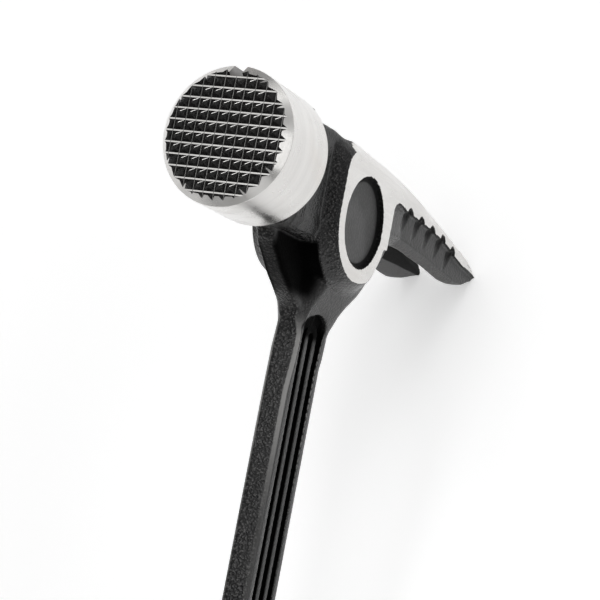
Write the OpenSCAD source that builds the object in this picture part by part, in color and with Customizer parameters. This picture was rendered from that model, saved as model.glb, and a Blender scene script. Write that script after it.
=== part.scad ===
// Framing hammer: one steel forging with a milled face, a rip claw and a grooved
// shank, a magnet in its nail starter, and a moulded two-material grip.
// The hammer is drawn upright in its own tool frame: X runs up the handle from the
// butt to the head, Z points out of the striking face, Y runs across. It is then
// laid down on its claw tips and its butt, face up, the way it rests on a bench.

/* [Overall] */
// Length from the butt to the top of the head
overall_l = 406; // [380:1:430]
// Distance from the handle's axis to the crests of the face
face_reach = 64.5; // [58:0.5:72]
// Distance from the handle's axis back to the claw tips
claw_reach = 90; // [82:0.5:98]
// Height of the head's top over the poll's axis
head_top = 13.2; // [12:0.1:15]

/* [Poll] */
// Diameter of the poll
poll_d = 36; // [34:0.5:40]
// Length of the poll's round part, with its bevel
poll_l = 24.2; // [20:0.2:28]
// Width of the ground bevel round the face
face_bevel = 2.6; // [2:0.1:3.2]
// Edge break on the poll's back rim
rim_break = 0.6; // [0.3:0.1:1]

/* [Milled face] */
// Pitch of the milled grooves
mill_pitch = 2.95; // [2.5:0.05:3.5]
// Depth of the milled grooves
mill_depth = 1.3; // [0.9:0.05:1.6]
// Width of the flat crest left on each pyramid
mill_crest = 0.4; // [0.2:0.05:0.6]
// Width of the flat at the bottom of each groove
mill_root = 0.25; // [0.15:0.05:0.4]

/* [Nail starter] */
// Width of the nail groove
starter_w = 3.6; // [3:0.1:4.5]
// Depth of the nail groove
starter_depth = 3; // [2:0.1:4]
// Diameter of the magnet
magnet_d = 5; // [4.5:0.1:6]
// Length of the magnet
magnet_l = 6; // [4:0.5:8]
// Clearance round the magnet
magnet_gap = 0.1; // [0.05:0.05:0.2]

/* [Cheeks] */
// Thickness of the head across its ground cheeks
cheek_t = 26; // [24:0.5:30]
// Radius of the ground round face on each cheek
boss_r = 16.5; // [15:0.5:18]
// Distance of that face's centre below the poll's axis
boss_drop = 6.5; // [4:0.5:9]
// Width of the slope round the cheek's face
boss_slope = 3; // [2:0.5:4]
// Height of the slope round the cheek's face
boss_rise = 4; // [3:0.5:5]
// Diameter of the round recess in each cheek
recess_d = 24.8; // [20:0.2:28]
// Depth of the round recess in each cheek
recess_depth = 1.5; // [1:0.1:2.5]
// Depth of the hollow round the claw's sides
flute_field_depth = 1.3; // [0.8:0.1:2]

/* [Claw] */
// Distance of the tips' upper edge below the poll's axis
tip_drop = 2.8; // [1:0.1:5]
// Thickness of the claw's edge at its tips
tip_t = 1.2; // [0.8:0.1:2]
// Distance of the claw's underside below the poll's axis at its belly
claw_belly = 8.4; // [7:0.1:10]
// Width of the nail slot between the tips
slot_mouth_w = 11; // [8:0.2:13]
// Width of the nail slot at its root
slot_root_w = 3; // [2.6:0.2:4]
// Length of the nail slot
slot_l = 42; // [34:1:46]
// Bevel along the claw's top edges
claw_top_bevel = 1.5; // [1:0.1:2]
// Bevel along the claw's lower edges
claw_low_bevel = 3.5; // [2.5:0.1:4.5]
// Number of flutes on each side of the claw
flute_count = 5; // [3:1:5]
// Pitch of the flutes
flute_pitch = 9.2; // [8:0.1:10]
// Radius of a flute
flute_r = 2.3; // [1.8:0.1:2.6]

/* [Shank] */
// Width of the shank along the head
shank_w = 17.2; // [16:0.2:20]
// Thickness of the shank across
shank_t = 7.4; // [6.6:0.2:9]
// Corner radius of the shank
shank_r = 1.5; // [1:0.1:2]
// Width of the groove in the shank's sides
groove_w = 11; // [9:0.2:12]
// Depth of that groove
groove_depth = 1.4; // [1:0.1:1.8]
// Width of the raised loop in the groove
loop_w = 2.2; // [1.6:0.1:2.4]
// Width of the slot inside the loop
loop_slot_w = 2.2; // [1.8:0.1:2.6]
// Height of the loop over the groove's floor
loop_h = 1.1; // [0.6:0.1:1.3]
// Distance of the groove's top end below the poll's axis
groove_top_drop = 33; // [31:0.5:38]

/* [Grip] */
// Length of the grip
grip_l = 178; // [160:1:190]
// Depth of the grip along the head at the palm
grip_w = 34; // [30:0.5:38]
// Thickness of the grip across at the palm
grip_t = 27; // [24:0.5:30]
// Depth of the flared butt
butt_w = 42; // [38:0.5:46]
// Thickness of the soft sleeve
sleeve_wall = 3.2; // [2.5:0.1:4]
// Length of the hard collar that shows in front of the sleeve
collar_l = 7; // [5:0.5:10]
// Thickness of the butt cap
cap_t = 3.4; // [3:0.1:5]
// Number of tread grooves round the sleeve
tread_count = 14; // [6:1:16]
// Pitch of the tread grooves
tread_pitch = 6.4; // [5.6:0.1:7]
// Depth of the tread grooves
tread_depth = 0.9; // [0.5:0.1:1.2]
// Length of the side inlays
inlay_l = 74; // [60:1:84]
// Width of the side inlays
inlay_w = 13; // [10:0.5:15]
// Clearance between the moulded pieces
mould_gap = 0.2; // [0.1:0.05:0.3]

/* [Hidden] */
$fn = 64;

// Overrun of cuts, and how far a piece that is fused reaches into its neighbour
overrun = 2;
lap = 1;

butt_x = head_top - overall_l;
cheek_h = cheek_t / 2;
shank_h = shank_w / 2;
shank_side = shank_t / 2;

// Steel
poll_r = poll_d / 2;
poll_back = face_reach - poll_l;
neck_r = 11;
neck_back_l = 7.5;
poll_back_share = [[0.04, 0.75], [0.12, 0.52], [0.25, 0.33], [0.4, 0.2], [0.6, 0.08]];
starter_floor = poll_r - starter_depth;
starter_stop_z = poll_back + starter_w;
magnet_z = (poll_back + face_reach) / 2;
boss_base_r = boss_r + boss_slope;
boss_side = cheek_h - boss_rise;
cheek_corner_r = 7;
cheek_corner_drop = 9;
corner_rise_share = 1.7;
corner_n = 8;
outline_n = 24;
neck_side = 8.8;
neck_flange = 1.6;
neck_low = 16;
neck_round = 3.5;
// Shares of the way to the poll, of the side, of the low edge and of the top
neck_share = [[0, 1, 1, 0.92], [0.24, 1, 1, 0.985], [0.52, 1, 1, 1.06], [0.7, 0.94, 1, 1.06], [0.83, 1, 1.01, 1.07],
    [0.93, 1.17, 1.03, 1.09], [1.025, 1.28, 1.04, 1.12]];
rib_t = 5.8;
rib_rise = 24.5;
rib_steps = 14;
rib_sink = 3;
rib_foot_x = -36;
rib_head_x = -16;
rear_rise = 20;
rear_foot_x = -33;
rear_head_x = -5;
flare_foot_x = -41;
flare_head_x = -20;
flare_side = 9.4;
flare_front_rise = 3;
flare_front_in = -2.5;
flare_front_out = 0.7;
flare_round = 2;
round_share = 0.3;
flare_tuck = 0.08;

// Claw: shares of the reach and of the fall from the head's top to the tips
claw_fall = head_top + tip_drop;
top_share = [[-0.26, 0], [0, 0.07], [0.11, 0.1], [0.22, 0.145], [0.33, 0.21], [0.44, 0.29], [0.56, 0.405],
    [0.68, 0.52], [0.8, 0.64], [0.91, 0.78], [1, 1]];
top_bevel_share = [[-0.26, 1], [0.22, 1], [0.44, 0.84], [0.68, 0.5], [0.91, 0.2], [1, 0.12]];
under_share = [[0.2, 0.8], [0.33, 0.79], [0.44, 0.82], [0.56, 0.87], [0.66, 0.95], [0.75, 1], [0.83, 0.95],
    [0.91, 0.8], [1, 0.475]];
low_bevel_share = [[-0.26, 1], [0.75, 1], [0.91, 0.45], [1, 0.08]];
field_share = [[0.205, 0.72], [0.212, 0.63], [0.232, 0.575], [0.28, 0.56], [0.39, 0.57], [0.5, 0.6], [0.6, 0.645],
    [0.7, 0.715], [0.8, 0.84], [0.89, 0.92], [1.03, 1.05]];
cheek_station_share = [-0.26, 0, 0.11, 0.2];
channel_share = [[0.262, 0.77, 0.9], [0.312, 0.32, 1.4], [0.382, 0.06, 1.2], [0.543, 0.06, 1.1],
    [0.747, 0.15, 0.85], [0.903, 0.3, 0.95], [1.033, 0.46, 0.9]];
station_share = [0.205, 0.23, 0.33, 0.44, 0.56, 0.66, 0.75, 0.83, 0.91, 1];
channel_roof_share = 0.9;
top_bevel_h = 2.5;
tip_land_share = 0.17;
flute_first = 31;
flute_lean = 24;
flute_fade = 8;
flute_l = 9.5;
flute_bite_share = 0.55;
flute_in_share = 0.1;
flute_shell_share = [[1, 0], [1, 0.8], [0.94, 0.87], [0.78, 0.94], [0.5, 0.985], [0, 1]];

// Shank, groove and tang
grip_front_x = butt_x + grip_l;
groove_end_x = grip_front_x + 6;
groove_centre_x = -groove_top_drop - groove_w / 2;
loop_setback = 2.6;
tang_w = 14;
tang_t = 5.6;
tang_end = 14;
tang_hole_d = 6;
tang_hole_share = [0.3, 0.72];

// Grip: shares of its length, of its depth and of its thickness
grip_share = [[0, 0.78, 0.78], [0.03, 0.86, 0.87], [0.055, 0.97, 0.95], [0.09, 0.93, 0.92], [0.15, 0.86, 0.88],
    [0.24, 0.88, 0.9], [0.36, 0.95, 0.95], [0.5, 1, 1], [0.64, 0.97, 0.98], [0.76, 0.91, 0.93],
    [0.85, 0.88, 0.9], [0.91, 0.9, 0.94], [0.955, 0.95, 1.02], [0.985, 1, 1.07], [1, 1, 1.05]];
// Shares of its length, and of what the butt adds to the depth
butt_share = [[0.85, 0], [0.91, 0.17], [0.955, 0.72], [0.985, 1], [1, 0.85]];
grip_round = 0.62;
ring_n = 7;
tread_start = 44;
inlay_start = 58;
inlay_floor = 2.2;
inlay_proud = 0.5;
inlay_share = [0.15, 0.95];
inlay_waist_share = 0.95;
sleeve_edge = 1.2;
cap_edge = 1.2;
collar_share = 0.35;
collar_step_share = 0.06;
sleeve_front = collar_l / grip_l;
sleeve_back = 1 - cap_t / grip_l;

function smooth(t) = let (c = max(0, min(1, t))) c * c * (3 - 2 * c);
function ramp(x, x0, x1) = smooth((x - x0) / (x1 - x0));

// A ring of points on a rectangle with rounded corners, half sizes a and b
function round_rect(a, b, r, n) = [for (q = [0:3], i = [0:n - 1])
    let (t = 90 * (q + i / (n - 1)), sx = (q == 0 || q == 3) ? 1 : -1, sy = (q < 2) ? 1 : -1)
    [sx * (a - r) + r * cos(t), sy * (b - r) + r * sin(t)]];
function ring_x(x, yz) = [for (p = yz) [x, p[0], p[1]]];
function ring_z(z, xy) = [for (p = xy) [p[0], p[1], z]];

// Walls between two rings, and the two ends of a stack of rings
function walls(n, m) = [for (k = [0:m - 2], i = [0:n - 1])
    let (a = k * n + i, b = k * n + (i + 1) % n) each [[a + n, b + n, b], [a + n, b, a]]];

module skin(rings) {
    n = len(rings[0]);
    m = len(rings);
    low = [for (i = [0:n - 1]) i];
    high = [for (i = [0:n - 1]) m * n - 1 - i];
    polyhedron(points = [for (r = rings) each r], faces = concat([low, high], walls(n, m)), convexity = 6);
}

// An outer and an inner stack of rings, joined at both ends to a tube
module tube_skin(outer, inner) {
    n = len(outer[0]);
    m = len(outer);
    k = len(inner);
    base = n * m;
    inner_walls = [for (f = walls(n, k)) [base + f[2], base + f[1], base + f[0]]];
    front = [for (i = [0:n - 1]) let (j = (i + 1) % n) each [[i, j, base + j], [i, base + j, base + i]]];
    back = [for (i = [0:n - 1]) let (j = (i + 1) % n, o = n * (m - 1), p = base + n * (k - 1))
        each [[o + j, o + i, p + i], [o + j, p + i, p + j]]];
    polyhedron(points = concat([for (r = outer) each r], [for (r = inner) each r]),
        faces = concat(walls(n, m), inner_walls, front, back), convexity = 8);
}

// A profile drawn in X and Z, given a thickness across the hammer
module across(t) {
    rotate([90, 0, 0]) linear_extrude(height = t, center = true) children();
}

// A profile drawn in Y and Z, given a length along the handle
module along(x0, x1) {
    translate([x0, 0, 0]) rotate([90, 0, 90]) linear_extrude(height = x1 - x0) children();
}

module both_sides() {
    children();
    mirror([0, 1, 0]) children();
}

// Sizes of the head at a share s of the claw's reach
function top_at(s) = head_top - claw_fall * lookup(s, top_share);
function edge_at(s) = top_at(s) - top_bevel_h * lookup(s, top_bevel_share);
function under_at(s) = -claw_belly * lookup(s, under_share);
function field_at(s) = head_top - claw_fall * lookup(s, field_share);

// Cross-section of the cheeks and the claw, one bevel above and one below
function head_ring(s, top, under) = let (
        edge = top - (top_at(s) - edge_at(s)),
        side = cheek_h + lap,
        low_share = lookup(s, low_bevel_share),
        high_edge = edge - (top - edge) * lap / claw_top_bevel,
        low_edge = min(under + claw_low_bevel * low_share + lap, high_edge - tip_land_share * tip_t))
    ring_z(-s * claw_reach, [
        [top, cheek_h - claw_top_bevel], [high_edge, side],
        [low_edge, side], [under, cheek_h - claw_low_bevel * low_share],
        [under, claw_low_bevel * low_share - cheek_h], [low_edge, -side],
        [high_edge, -side], [top, claw_top_bevel - cheek_h]]);

// The poll: a revolved body, its bevel, and the back that runs down to the neck
module poll_blank() {
    rotate_extrude() polygon([
        [0, poll_back - neck_back_l - lap],
        [neck_r, poll_back - neck_back_l - lap],
        [neck_r, poll_back - neck_back_l],
        each [for (p = poll_back_share) [neck_r + p[0] * (poll_r - neck_r), poll_back - p[1] * neck_back_l]],
        [poll_r - rim_break, poll_back],
        [poll_r, poll_back + rim_break],
        [poll_r, face_reach - face_bevel],
        [poll_r - face_bevel, face_reach],
        [0, face_reach]]);
}

// One milled groove along Y, with sloping walls
module mill_groove() {
    rotate([90, 0, 0]) linear_extrude(height = poll_d + 2 * overrun, center = true) polygon([
        [-mill_root / 2, face_reach - mill_depth],
        [mill_root / 2, face_reach - mill_depth],
        [(mill_pitch - mill_crest) / 2, face_reach],
        [(mill_pitch - mill_crest) / 2, face_reach + overrun],
        [-(mill_pitch - mill_crest) / 2, face_reach + overrun],
        [-(mill_pitch - mill_crest) / 2, face_reach]]);
}

module milled_grooves() {
    n = ceil((poll_r - face_bevel) / mill_pitch);
    for (i = [-n:n], turn = [0, 90])
        rotate([0, 0, turn]) translate([i * mill_pitch, 0, 0]) mill_groove();
}

// The groove that holds a nail on top of the poll, and the magnet's hole in its floor
module nail_starter() {
    translate([starter_floor, -starter_w / 2, starter_stop_z])
        cube([starter_depth + overrun, starter_w, face_reach - starter_stop_z + overrun]);
    translate([starter_floor, 0, starter_stop_z]) rotate([0, 90, 0])
        cylinder(d = starter_w, h = starter_depth + overrun);
    translate([starter_floor - magnet_l - magnet_gap, 0, magnet_z]) rotate([0, 90, 0])
        cylinder(d = magnet_d + 2 * magnet_gap, h = magnet_l + starter_depth + overrun);
}

module poll() {
    difference() {
        poll_blank();
        milled_grooves();
        nail_starter();
    }
}

// The head's top and the claw as one loft; under the cheeks it only has to be deep enough
module head_loft() {
    claw = [for (s = station_share) head_ring(s, top_at(s), under_at(s))];
    cheeks = [for (s = cheek_station_share) head_ring(s, top_at(s), -boss_drop - boss_base_r - overrun)];
    skin(concat([for (i = [len(claw) - 1:-1:0]) claw[i]], [for (i = [len(cheeks) - 1:-1:0]) cheeks[i]]));
}

// The cheeks' outline, set out by the slope's width at its foot: round under the
// poll's axis, straight up the front, and rounded again into the head's top
function cheek_outline(grow) = let (r = boss_r + grow, rt = cheek_corner_r - grow,
        corner_x = head_top - cheek_corner_drop + grow * corner_rise_share) concat(
    [[head_top + boss_r, -claw_reach - overrun]],
    [[head_top + boss_r, r - rt]],
    [for (i = [0:corner_n]) let (t = 75 - 75 * i / corner_n) [corner_x + rt * sin(t), r - rt + rt * cos(t)]],
    [for (i = [0:outline_n]) let (t = 165 * i / outline_n) [-boss_drop - r * sin(t), r * cos(t)]],
    [[-claw_belly - overrun, -1.06 * r], [-claw_belly - overrun, -claw_reach - overrun]]);
function outline_ring(y, zx) = [for (p = zx) [p[0], y, p[1]]];

module cheek_blank() {
    shrink = boss_slope * lap / (cheek_h - boss_side);
    intersection() {
        skin([
            outline_ring(cheek_h + lap, cheek_outline(-shrink)),
            outline_ring(boss_side, cheek_outline(boss_slope)),
            outline_ring(-boss_side, cheek_outline(boss_slope)),
            outline_ring(-cheek_h - lap, cheek_outline(-shrink))]);
        cube([4 * claw_reach, 2 * cheek_h, 4 * claw_reach], center = true);
    }
}

// The neck between the cheeks and the poll, with a flange along its top
function neck_ring(z, side, low, top) = ring_z(z, let (half = [
        [top, side - neck_round / 3], [top - neck_flange / 2, side + neck_flange / 2], [top - 2 * neck_flange, side],
        [-low + neck_round, side], [-low + neck_round / 3, side - neck_round / 3], [-low, side - neck_round]])
    concat(half, [for (i = [len(half) - 1:-1:0]) [half[i][0], -half[i][1]]]));

module neck() {
    skin([for (p = neck_share)
        neck_ring(p[0] * poll_back, p[1] * neck_side, p[2] * neck_low, p[3] * head_top)]);
}

// The thin rib that runs from the shank's front edge up under the poll
module front_rib() {
    x0 = rib_foot_x - rib_sink;
    x1 = rib_sink - neck_low;
    skin([for (i = [0:rib_steps]) let (
            x = x0 + (x1 - x0) * i / rib_steps,
            side = shank_side - flare_tuck - (shank_t - rib_t) / 2 * ramp(x, rib_foot_x, rib_head_x),
            zf = shank_h - flare_tuck + rib_rise * ramp(x, rib_foot_x, rib_head_x))
        ring_x(x, [for (p = round_rect(side, zf / 2, shank_r, 4)) [p[0], p[1] + zf / 2]])]);
}

// The flare that widens the shank to the cheeks; its front slopes in to the rib
module flare() {
    x0 = flare_foot_x - lap;
    x1 = rib_sink - claw_belly;
    skin([for (i = [0:rib_steps]) let (
            x = x0 + (x1 - x0) * i / rib_steps,
            t = ramp(x, flare_foot_x, flare_head_x),
            side = shank_side - flare_tuck + (flare_side - shank_side) * t,
            zs = shank_h - shank_r - flare_tuck + flare_front_in * t,
            zf = shank_h - flare_tuck + flare_front_rise * t,
            yf = shank_side - shank_r + flare_front_out * t,
            zr = shank_h - flare_tuck + rear_rise * ramp(x, rear_foot_x, rear_head_x))
        ring_x(x, [[yf, zf], [-yf, zf], [-side, zs], [-side, flare_round - zr],
            [-side + round_share * flare_round, round_share * flare_round - zr], [-side + flare_round, -zr],
            [side - flare_round, -zr], [side - round_share * flare_round, round_share * flare_round - zr],
            [side, flare_round - zr], [side, zs]])]);
}

// The shank, with rounded corners, down to the tang inside the grip
module bar_profile(w, t, r) {
    square([t - 2 * r, w], center = true);
    square([t, w - 2 * r], center = true);
    for (sy = [-1, 1], sz = [-1, 1]) translate([sy * (t / 2 - r), sz * (w / 2 - r)]) circle(r = r);
}

module shank() {
    along(grip_front_x, -boss_drop - boss_r) bar_profile(shank_w, shank_t, shank_r);
}

module tang(gap) {
    difference() {
        along(butt_x + tang_end - gap, grip_front_x + lap) bar_profile(tang_w + 2 * gap, tang_t + 2 * gap, shank_r);
        for (s = tang_hole_share) translate([grip_front_x - s * grip_l, 0, 0]) rotate([90, 0, 0])
            cylinder(d = tang_hole_d - 2 * gap, h = tang_t + 2 * overrun, center = true);
    }
}

// A long shape with one round end, drawn from its round end's centre down the shank
module round_ended(w, x0, x1) {
    translate([x0, 0]) circle(d = w);
    translate([x1, -w / 2]) square([x0 - x1, w]);
}

// The stepped groove: a pocket, and in it a raised loop round a slot
module side_groove() {
    loop_x = groove_centre_x - loop_setback;
    loop_out_w = loop_slot_w + 2 * loop_w;
    floor_y = shank_side - groove_depth;
    translate([0, -floor_y - (groove_depth + overrun) / 2, 0]) difference() {
        across(groove_depth + overrun) round_ended(groove_w, groove_centre_x, groove_end_x);
        translate([0, (groove_depth + overrun) / 2 - loop_h / 2, 0]) across(loop_h) difference() {
            round_ended(loop_out_w, loop_x, groove_end_x - lap);
            round_ended(loop_slot_w, loop_x, groove_end_x - 2 * lap);
        }
    }
}

// The nail slot between the tines
module nail_slot() {
    root_z = -claw_reach + slot_l;
    along(-claw_belly - overrun, head_top + overrun) {
        polygon([
            [-slot_root_w / 2, root_z],
            [slot_root_w / 2, root_z],
            [slot_mouth_w / 2, -claw_reach],
            [slot_mouth_w / 2, -claw_reach - overrun],
            [-slot_mouth_w / 2, -claw_reach - overrun],
            [-slot_mouth_w / 2, -claw_reach]]);
        translate([0, root_z]) circle(d = slot_root_w);
    }
}

// The channel that widens the nail slot towards the handle, where a nail's head sits
function slot_half(z) = slot_root_w / 2 + (slot_mouth_w - slot_root_w) / 2
    * max(0, (-z - claw_reach + slot_l) / slot_l);
module nail_channel() {
    skin([for (i = [len(channel_share) - 1:-1:0]) let (
            p = channel_share[i],
            z = -p[0] * claw_reach,
            roof = -claw_belly * p[1],
            low = under_at(p[0]) - overrun,
            narrow = channel_roof_share * slot_half(z),
            wide = narrow + (roof - low) * p[2])
        ring_z(z, [[roof, narrow], [low, wide], [low, -wide], [roof, -narrow]])]);
}

// The hollow on each side of the claw, below its bright top strip
module flute_field() {
    last = len(field_share) - 1;
    translate([0, -cheek_h - overrun + flute_field_depth / 2, 0]) across(flute_field_depth + 2 * overrun)
        polygon(concat(
            [for (p = field_share) [head_top - claw_fall * p[1], -p[0] * claw_reach]],
            [[-claw_belly - 2 * overrun, -field_share[last][0] * claw_reach],
             [-claw_belly - 2 * overrun, -field_share[0][0] * claw_reach]]));
}

// A round-nosed flute that bites into the strip and fades out below
module flute(z) {
    head = field_at(z / claw_reach) + flute_r * flute_bite_share;
    translate([head, -cheek_h + flute_in_share * flute_r, -z]) rotate([0, flute_lean, 0]) rotate([0, 0, flute_fade])
        rotate([0, -90, 0]) mirror([0, 0, 1]) translate([0, 0, -flute_l]) rotate_extrude(convexity = 2)
            polygon(concat([[0, 0]], [for (p = flute_shell_share) [flute_r * p[0], flute_l * p[1]]]));
}

module head() {
    difference() {
        intersection() {
            head_loft();
            cheek_blank();
        }
        both_sides() {
            flute_field();
            for (i = [0:flute_count - 1]) flute(flute_first + i * flute_pitch);
            translate([-boss_drop, -cheek_h + recess_depth, 0]) rotate([90, 0, 0])
                cylinder(d = recess_d, h = recess_depth + overrun);
        }
        nail_slot();
        nail_channel();
    }
}

module forged_body() {
    color([0.1, 0.1, 0.11]) {
        head();
        neck();
        front_rib();
        poll();
        tang(0);
        difference() {
            union() {
                flare();
                shank();
            }
            both_sides() side_groove();
        }
    }
}

// The magnet that holds the nail in its groove
module starter_magnet() {
    color([0.75, 0.75, 0.77]) translate([starter_floor - magnet_l, 0, magnet_z]) rotate([0, 90, 0])
        cylinder(d = magnet_d, h = magnet_l);
}

// Half depth and half thickness of the grip at a share of its length
function grip_half_w(s) = grip_w / 2 * lookup(s, [for (p = grip_share) [p[0], p[1]]])
    + (butt_w - grip_w) / 2 * lookup(s, butt_share);
function grip_half_t(s) = grip_t / 2 * lookup(s, [for (p = grip_share) [p[0], p[2]]]);
function grip_ring(s, inset) = let (a = grip_half_t(s) - inset, b = grip_half_w(s) - inset)
    ring_x(grip_front_x - s * grip_l, round_rect(a, b, grip_round * a, ring_n));

// The hard core moulded over the tang, with the collar in front of the sleeve
module grip_core() {
    shares = concat([0, sleeve_front * (1 - collar_step_share), sleeve_front], [for (p = grip_share)
        if (p[0] > sleeve_front && p[0] < sleeve_back) p[0]], [sleeve_back]);
    color([0.16, 0.16, 0.17]) difference() {
        skin([for (i = [len(shares) - 1:-1:0]) let (s = shares[i])
            grip_ring(s, s < sleeve_front ? sleeve_wall * collar_share : sleeve_wall + mould_gap)]);
        tang(mould_gap);
    }
}

// Shares at which the soft sleeve has a ring, and how far each ring is let in
tread_share = [for (i = [0:tread_count - 1], p = [[-0.28, 0], [-0.14, 1], [0.14, 1], [0.28, 0]])
    [(tread_start + (i + p[0]) * tread_pitch) / grip_l, p[1] * tread_depth]];
sleeve_rings = concat(
    [[sleeve_front, sleeve_edge], [sleeve_front + sleeve_edge / grip_l, 0]],
    [for (p = grip_share) if (p[0] > sleeve_front + sleeve_edge / grip_l && p[0] < tread_share[0][0]) [p[0], 0]],
    tread_share,
    [for (p = grip_share) if (p[0] > tread_share[len(tread_share) - 1][0] && p[0] < sleeve_back) [p[0], 0]],
    [[sleeve_back, 0]]);

// The soft sleeve over the core, with tread grooves and seats for the side inlays
module grip_sleeve() {
    n = len(sleeve_rings) - 1;
    core_shares = concat([sleeve_front], [for (p = grip_share) if (p[0] > sleeve_front && p[0] < sleeve_back) p[0]],
        [sleeve_back]);
    k = len(core_shares) - 1;
    color([0.07, 0.07, 0.075]) difference() {
        tube_skin([for (i = [n:-1:0]) grip_ring(sleeve_rings[i][0], sleeve_rings[i][1])],
            [for (i = [k:-1:0]) grip_ring(core_shares[i], sleeve_wall)]);
        both_sides() inlay_blank(0);
    }
}

// The outline of a side inlay, cut to a flat floor inside the sleeve
module inlay_blank(gap) {
    floor_y = grip_t / 2 * inlay_waist_share - inlay_floor;
    x0 = grip_front_x - inlay_start - inlay_w / 2;
    x1 = x0 - inlay_l + inlay_w;
    translate([0, -floor_y - gap - grip_t / 2, 0]) across(grip_t) {
        for (x = [x0, x1]) translate([x, 0]) circle(d = inlay_w - 2 * gap);
        translate([x1, -inlay_w / 2 + gap]) square([x0 - x1, inlay_w - 2 * gap]);
    }
}

// The two side inlays, set in the sleeve and standing a little proud of it
module side_inlays() {
    shares = [for (p = grip_share) if (p[0] > inlay_share[0] && p[0] < inlay_share[1]) p[0]];
    color([0.22, 0.22, 0.23]) intersection() {
        both_sides() inlay_blank(mould_gap);
        skin([for (i = [len(shares) - 1:-1:0]) grip_ring(shares[i], -inlay_proud)]);
    }
}

// The cap that closes the butt
module butt_cap() {
    color([0.14, 0.14, 0.15]) skin([
        grip_ring(1, cap_edge),
        grip_ring(1 - cap_edge / grip_l, 0),
        grip_ring(sleeve_back + mould_gap / grip_l, 0)]);
}

// The hammer rests on its claw tips and its butt: the tilt that brings both to the bench
tip_x = -tip_drop - tip_t;
tilt = min([for (p = butt_share)
    atan2(claw_reach - grip_half_w(p[0]) + (p[0] == 1 ? cap_edge : 0), tip_x - (grip_front_x - p[0] * grip_l))]);
function laid_x(x, z) = x * cos(tilt) - z * sin(tilt);
function laid_z(x, z) = x * sin(tilt) + z * cos(tilt);
far_x = max([for (s = station_share) laid_x(top_at(s), -s * claw_reach)]);
near_x = laid_x(butt_x, grip_half_w(1) - cap_edge);
bench_z = laid_z(tip_x, -claw_reach);

module laid_down() {
    translate([-(far_x + near_x) / 2, 0, -bench_z]) rotate([0, -tilt, 0]) children();
}

laid_down() forged_body();
laid_down() starter_magnet();
laid_down() grip_core();
laid_down() grip_sleeve();
laid_down() side_inlays();
laid_down() butt_cap();
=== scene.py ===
"""A framing hammer with a milled face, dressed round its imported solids.

The head, the claw and the shank are one black-coated forging. Its poll is turned and
milled, its cheeks are ground flat, and a two-material grip is moulded over its tang.
The solids come in as the fixed frame. The poll is modelled again with its milling, the
forging and the moulded pieces are copied from their solids and rounded over as a die
leaves them, and every piece gets a finish of its own.

All lengths are metres. The hammer's own axes are X up the handle to the head, Z out of
the striking face and Y across; HammerAxes lays them down in the row's frame.
"""

import logging
import math
from collections.abc import Callable, Iterator
from contextlib import contextmanager
from dataclasses import dataclass, field
from enum import Enum
from functools import cached_property, reduce

import bpy
from mathutils import Matrix, Vector


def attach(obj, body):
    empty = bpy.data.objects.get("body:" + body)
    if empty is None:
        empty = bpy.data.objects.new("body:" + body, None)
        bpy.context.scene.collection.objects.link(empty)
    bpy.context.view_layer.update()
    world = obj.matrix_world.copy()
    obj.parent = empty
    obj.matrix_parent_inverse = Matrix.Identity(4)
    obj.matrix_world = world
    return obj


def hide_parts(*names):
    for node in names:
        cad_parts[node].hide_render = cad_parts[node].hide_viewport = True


MM = 0.001
BODY = "root"
LOG = logging.getLogger("hammer")

# A face looks along an axis when its normal's share of that axis is more than this
SQUARE_ON = 0.9

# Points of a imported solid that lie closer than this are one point
WELD = 0.004 * MM

# How far one pass of smoothing moves a point towards its neighbours' middle
SMOOTHING = 0.5

# How many flats a rounded edge is made of
ROUND_FLATS = 2

Colour = tuple[float, float, float]
Triple = tuple[float, float, float]

# A form or a mask is absent at the first value and whole at the second, which may be the lower one
Stretch = tuple[float, float]


class Grain(Enum):
    """Which way the lines of a ground surface run, as stretches along the hammer's axes."""

    AROUND_POLL = (1.0, 1.0, 26.0)
    ALONG_CLAW = (26.0, 1.0, 1.3)
    ALONG_GROOVE = (1.0, 20.0, 3.0)


class Pick(Enum):
    """What an edit-mode operator acts on."""

    EDGES = (False, True, False)
    FACES = (False, False, True)


@dataclass(frozen=True)
class HammerAxes:
    """Where the hammer's own axes lie in the row's frame, resting on claw tips and butt."""

    tilt: float = math.radians(10.1316)
    shift: Triple = (187.238 * MM, 0.0, 89.3002 * MM)

    def matrix(self) -> Matrix:
        """Return the matrix that lays the hammer down."""
        return Matrix.Translation(self.shift) @ Matrix.Rotation(-self.tilt, 4, "Y")

    def point(self, x: float, y: float, z: float) -> Vector:
        """Return the row's point for one on the hammer's own axes."""
        return self.matrix() @ Vector((x, y, z))

    def own(self, point: Vector) -> Vector:
        """Return a row point on the hammer's own axes."""
        return self.matrix().inverted() @ point

    def turn(self, direction: Triple) -> Vector:
        """Return the row's direction for one on the hammer's own axes."""
        return self.matrix().to_3x3() @ Vector(direction)

    def facing(self, normal: Vector) -> Vector:
        """Return a row direction on the hammer's own axes."""
        return self.matrix().to_3x3().inverted() @ normal


AXES = HammerAxes()
GROUND_Y = 12.965 * MM
RECESS_X = -6.5 * MM
SHANK_SIDE = 3.62 * MM
GROOVE_HEAD_X = -38.5 * MM

# Hand tools


def deselect() -> None:
    """Go to object mode and leave nothing selected."""
    if bpy.context.mode != "OBJECT":
        bpy.ops.object.mode_set(mode="OBJECT")
    bpy.ops.object.select_all(action="DESELECT")


def take(obj: bpy.types.Object) -> None:
    """Select one object alone and make it active.

    Args:
        obj: The object.
    """
    deselect()
    obj.select_set(True)
    bpy.context.view_layer.objects.active = obj


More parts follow.
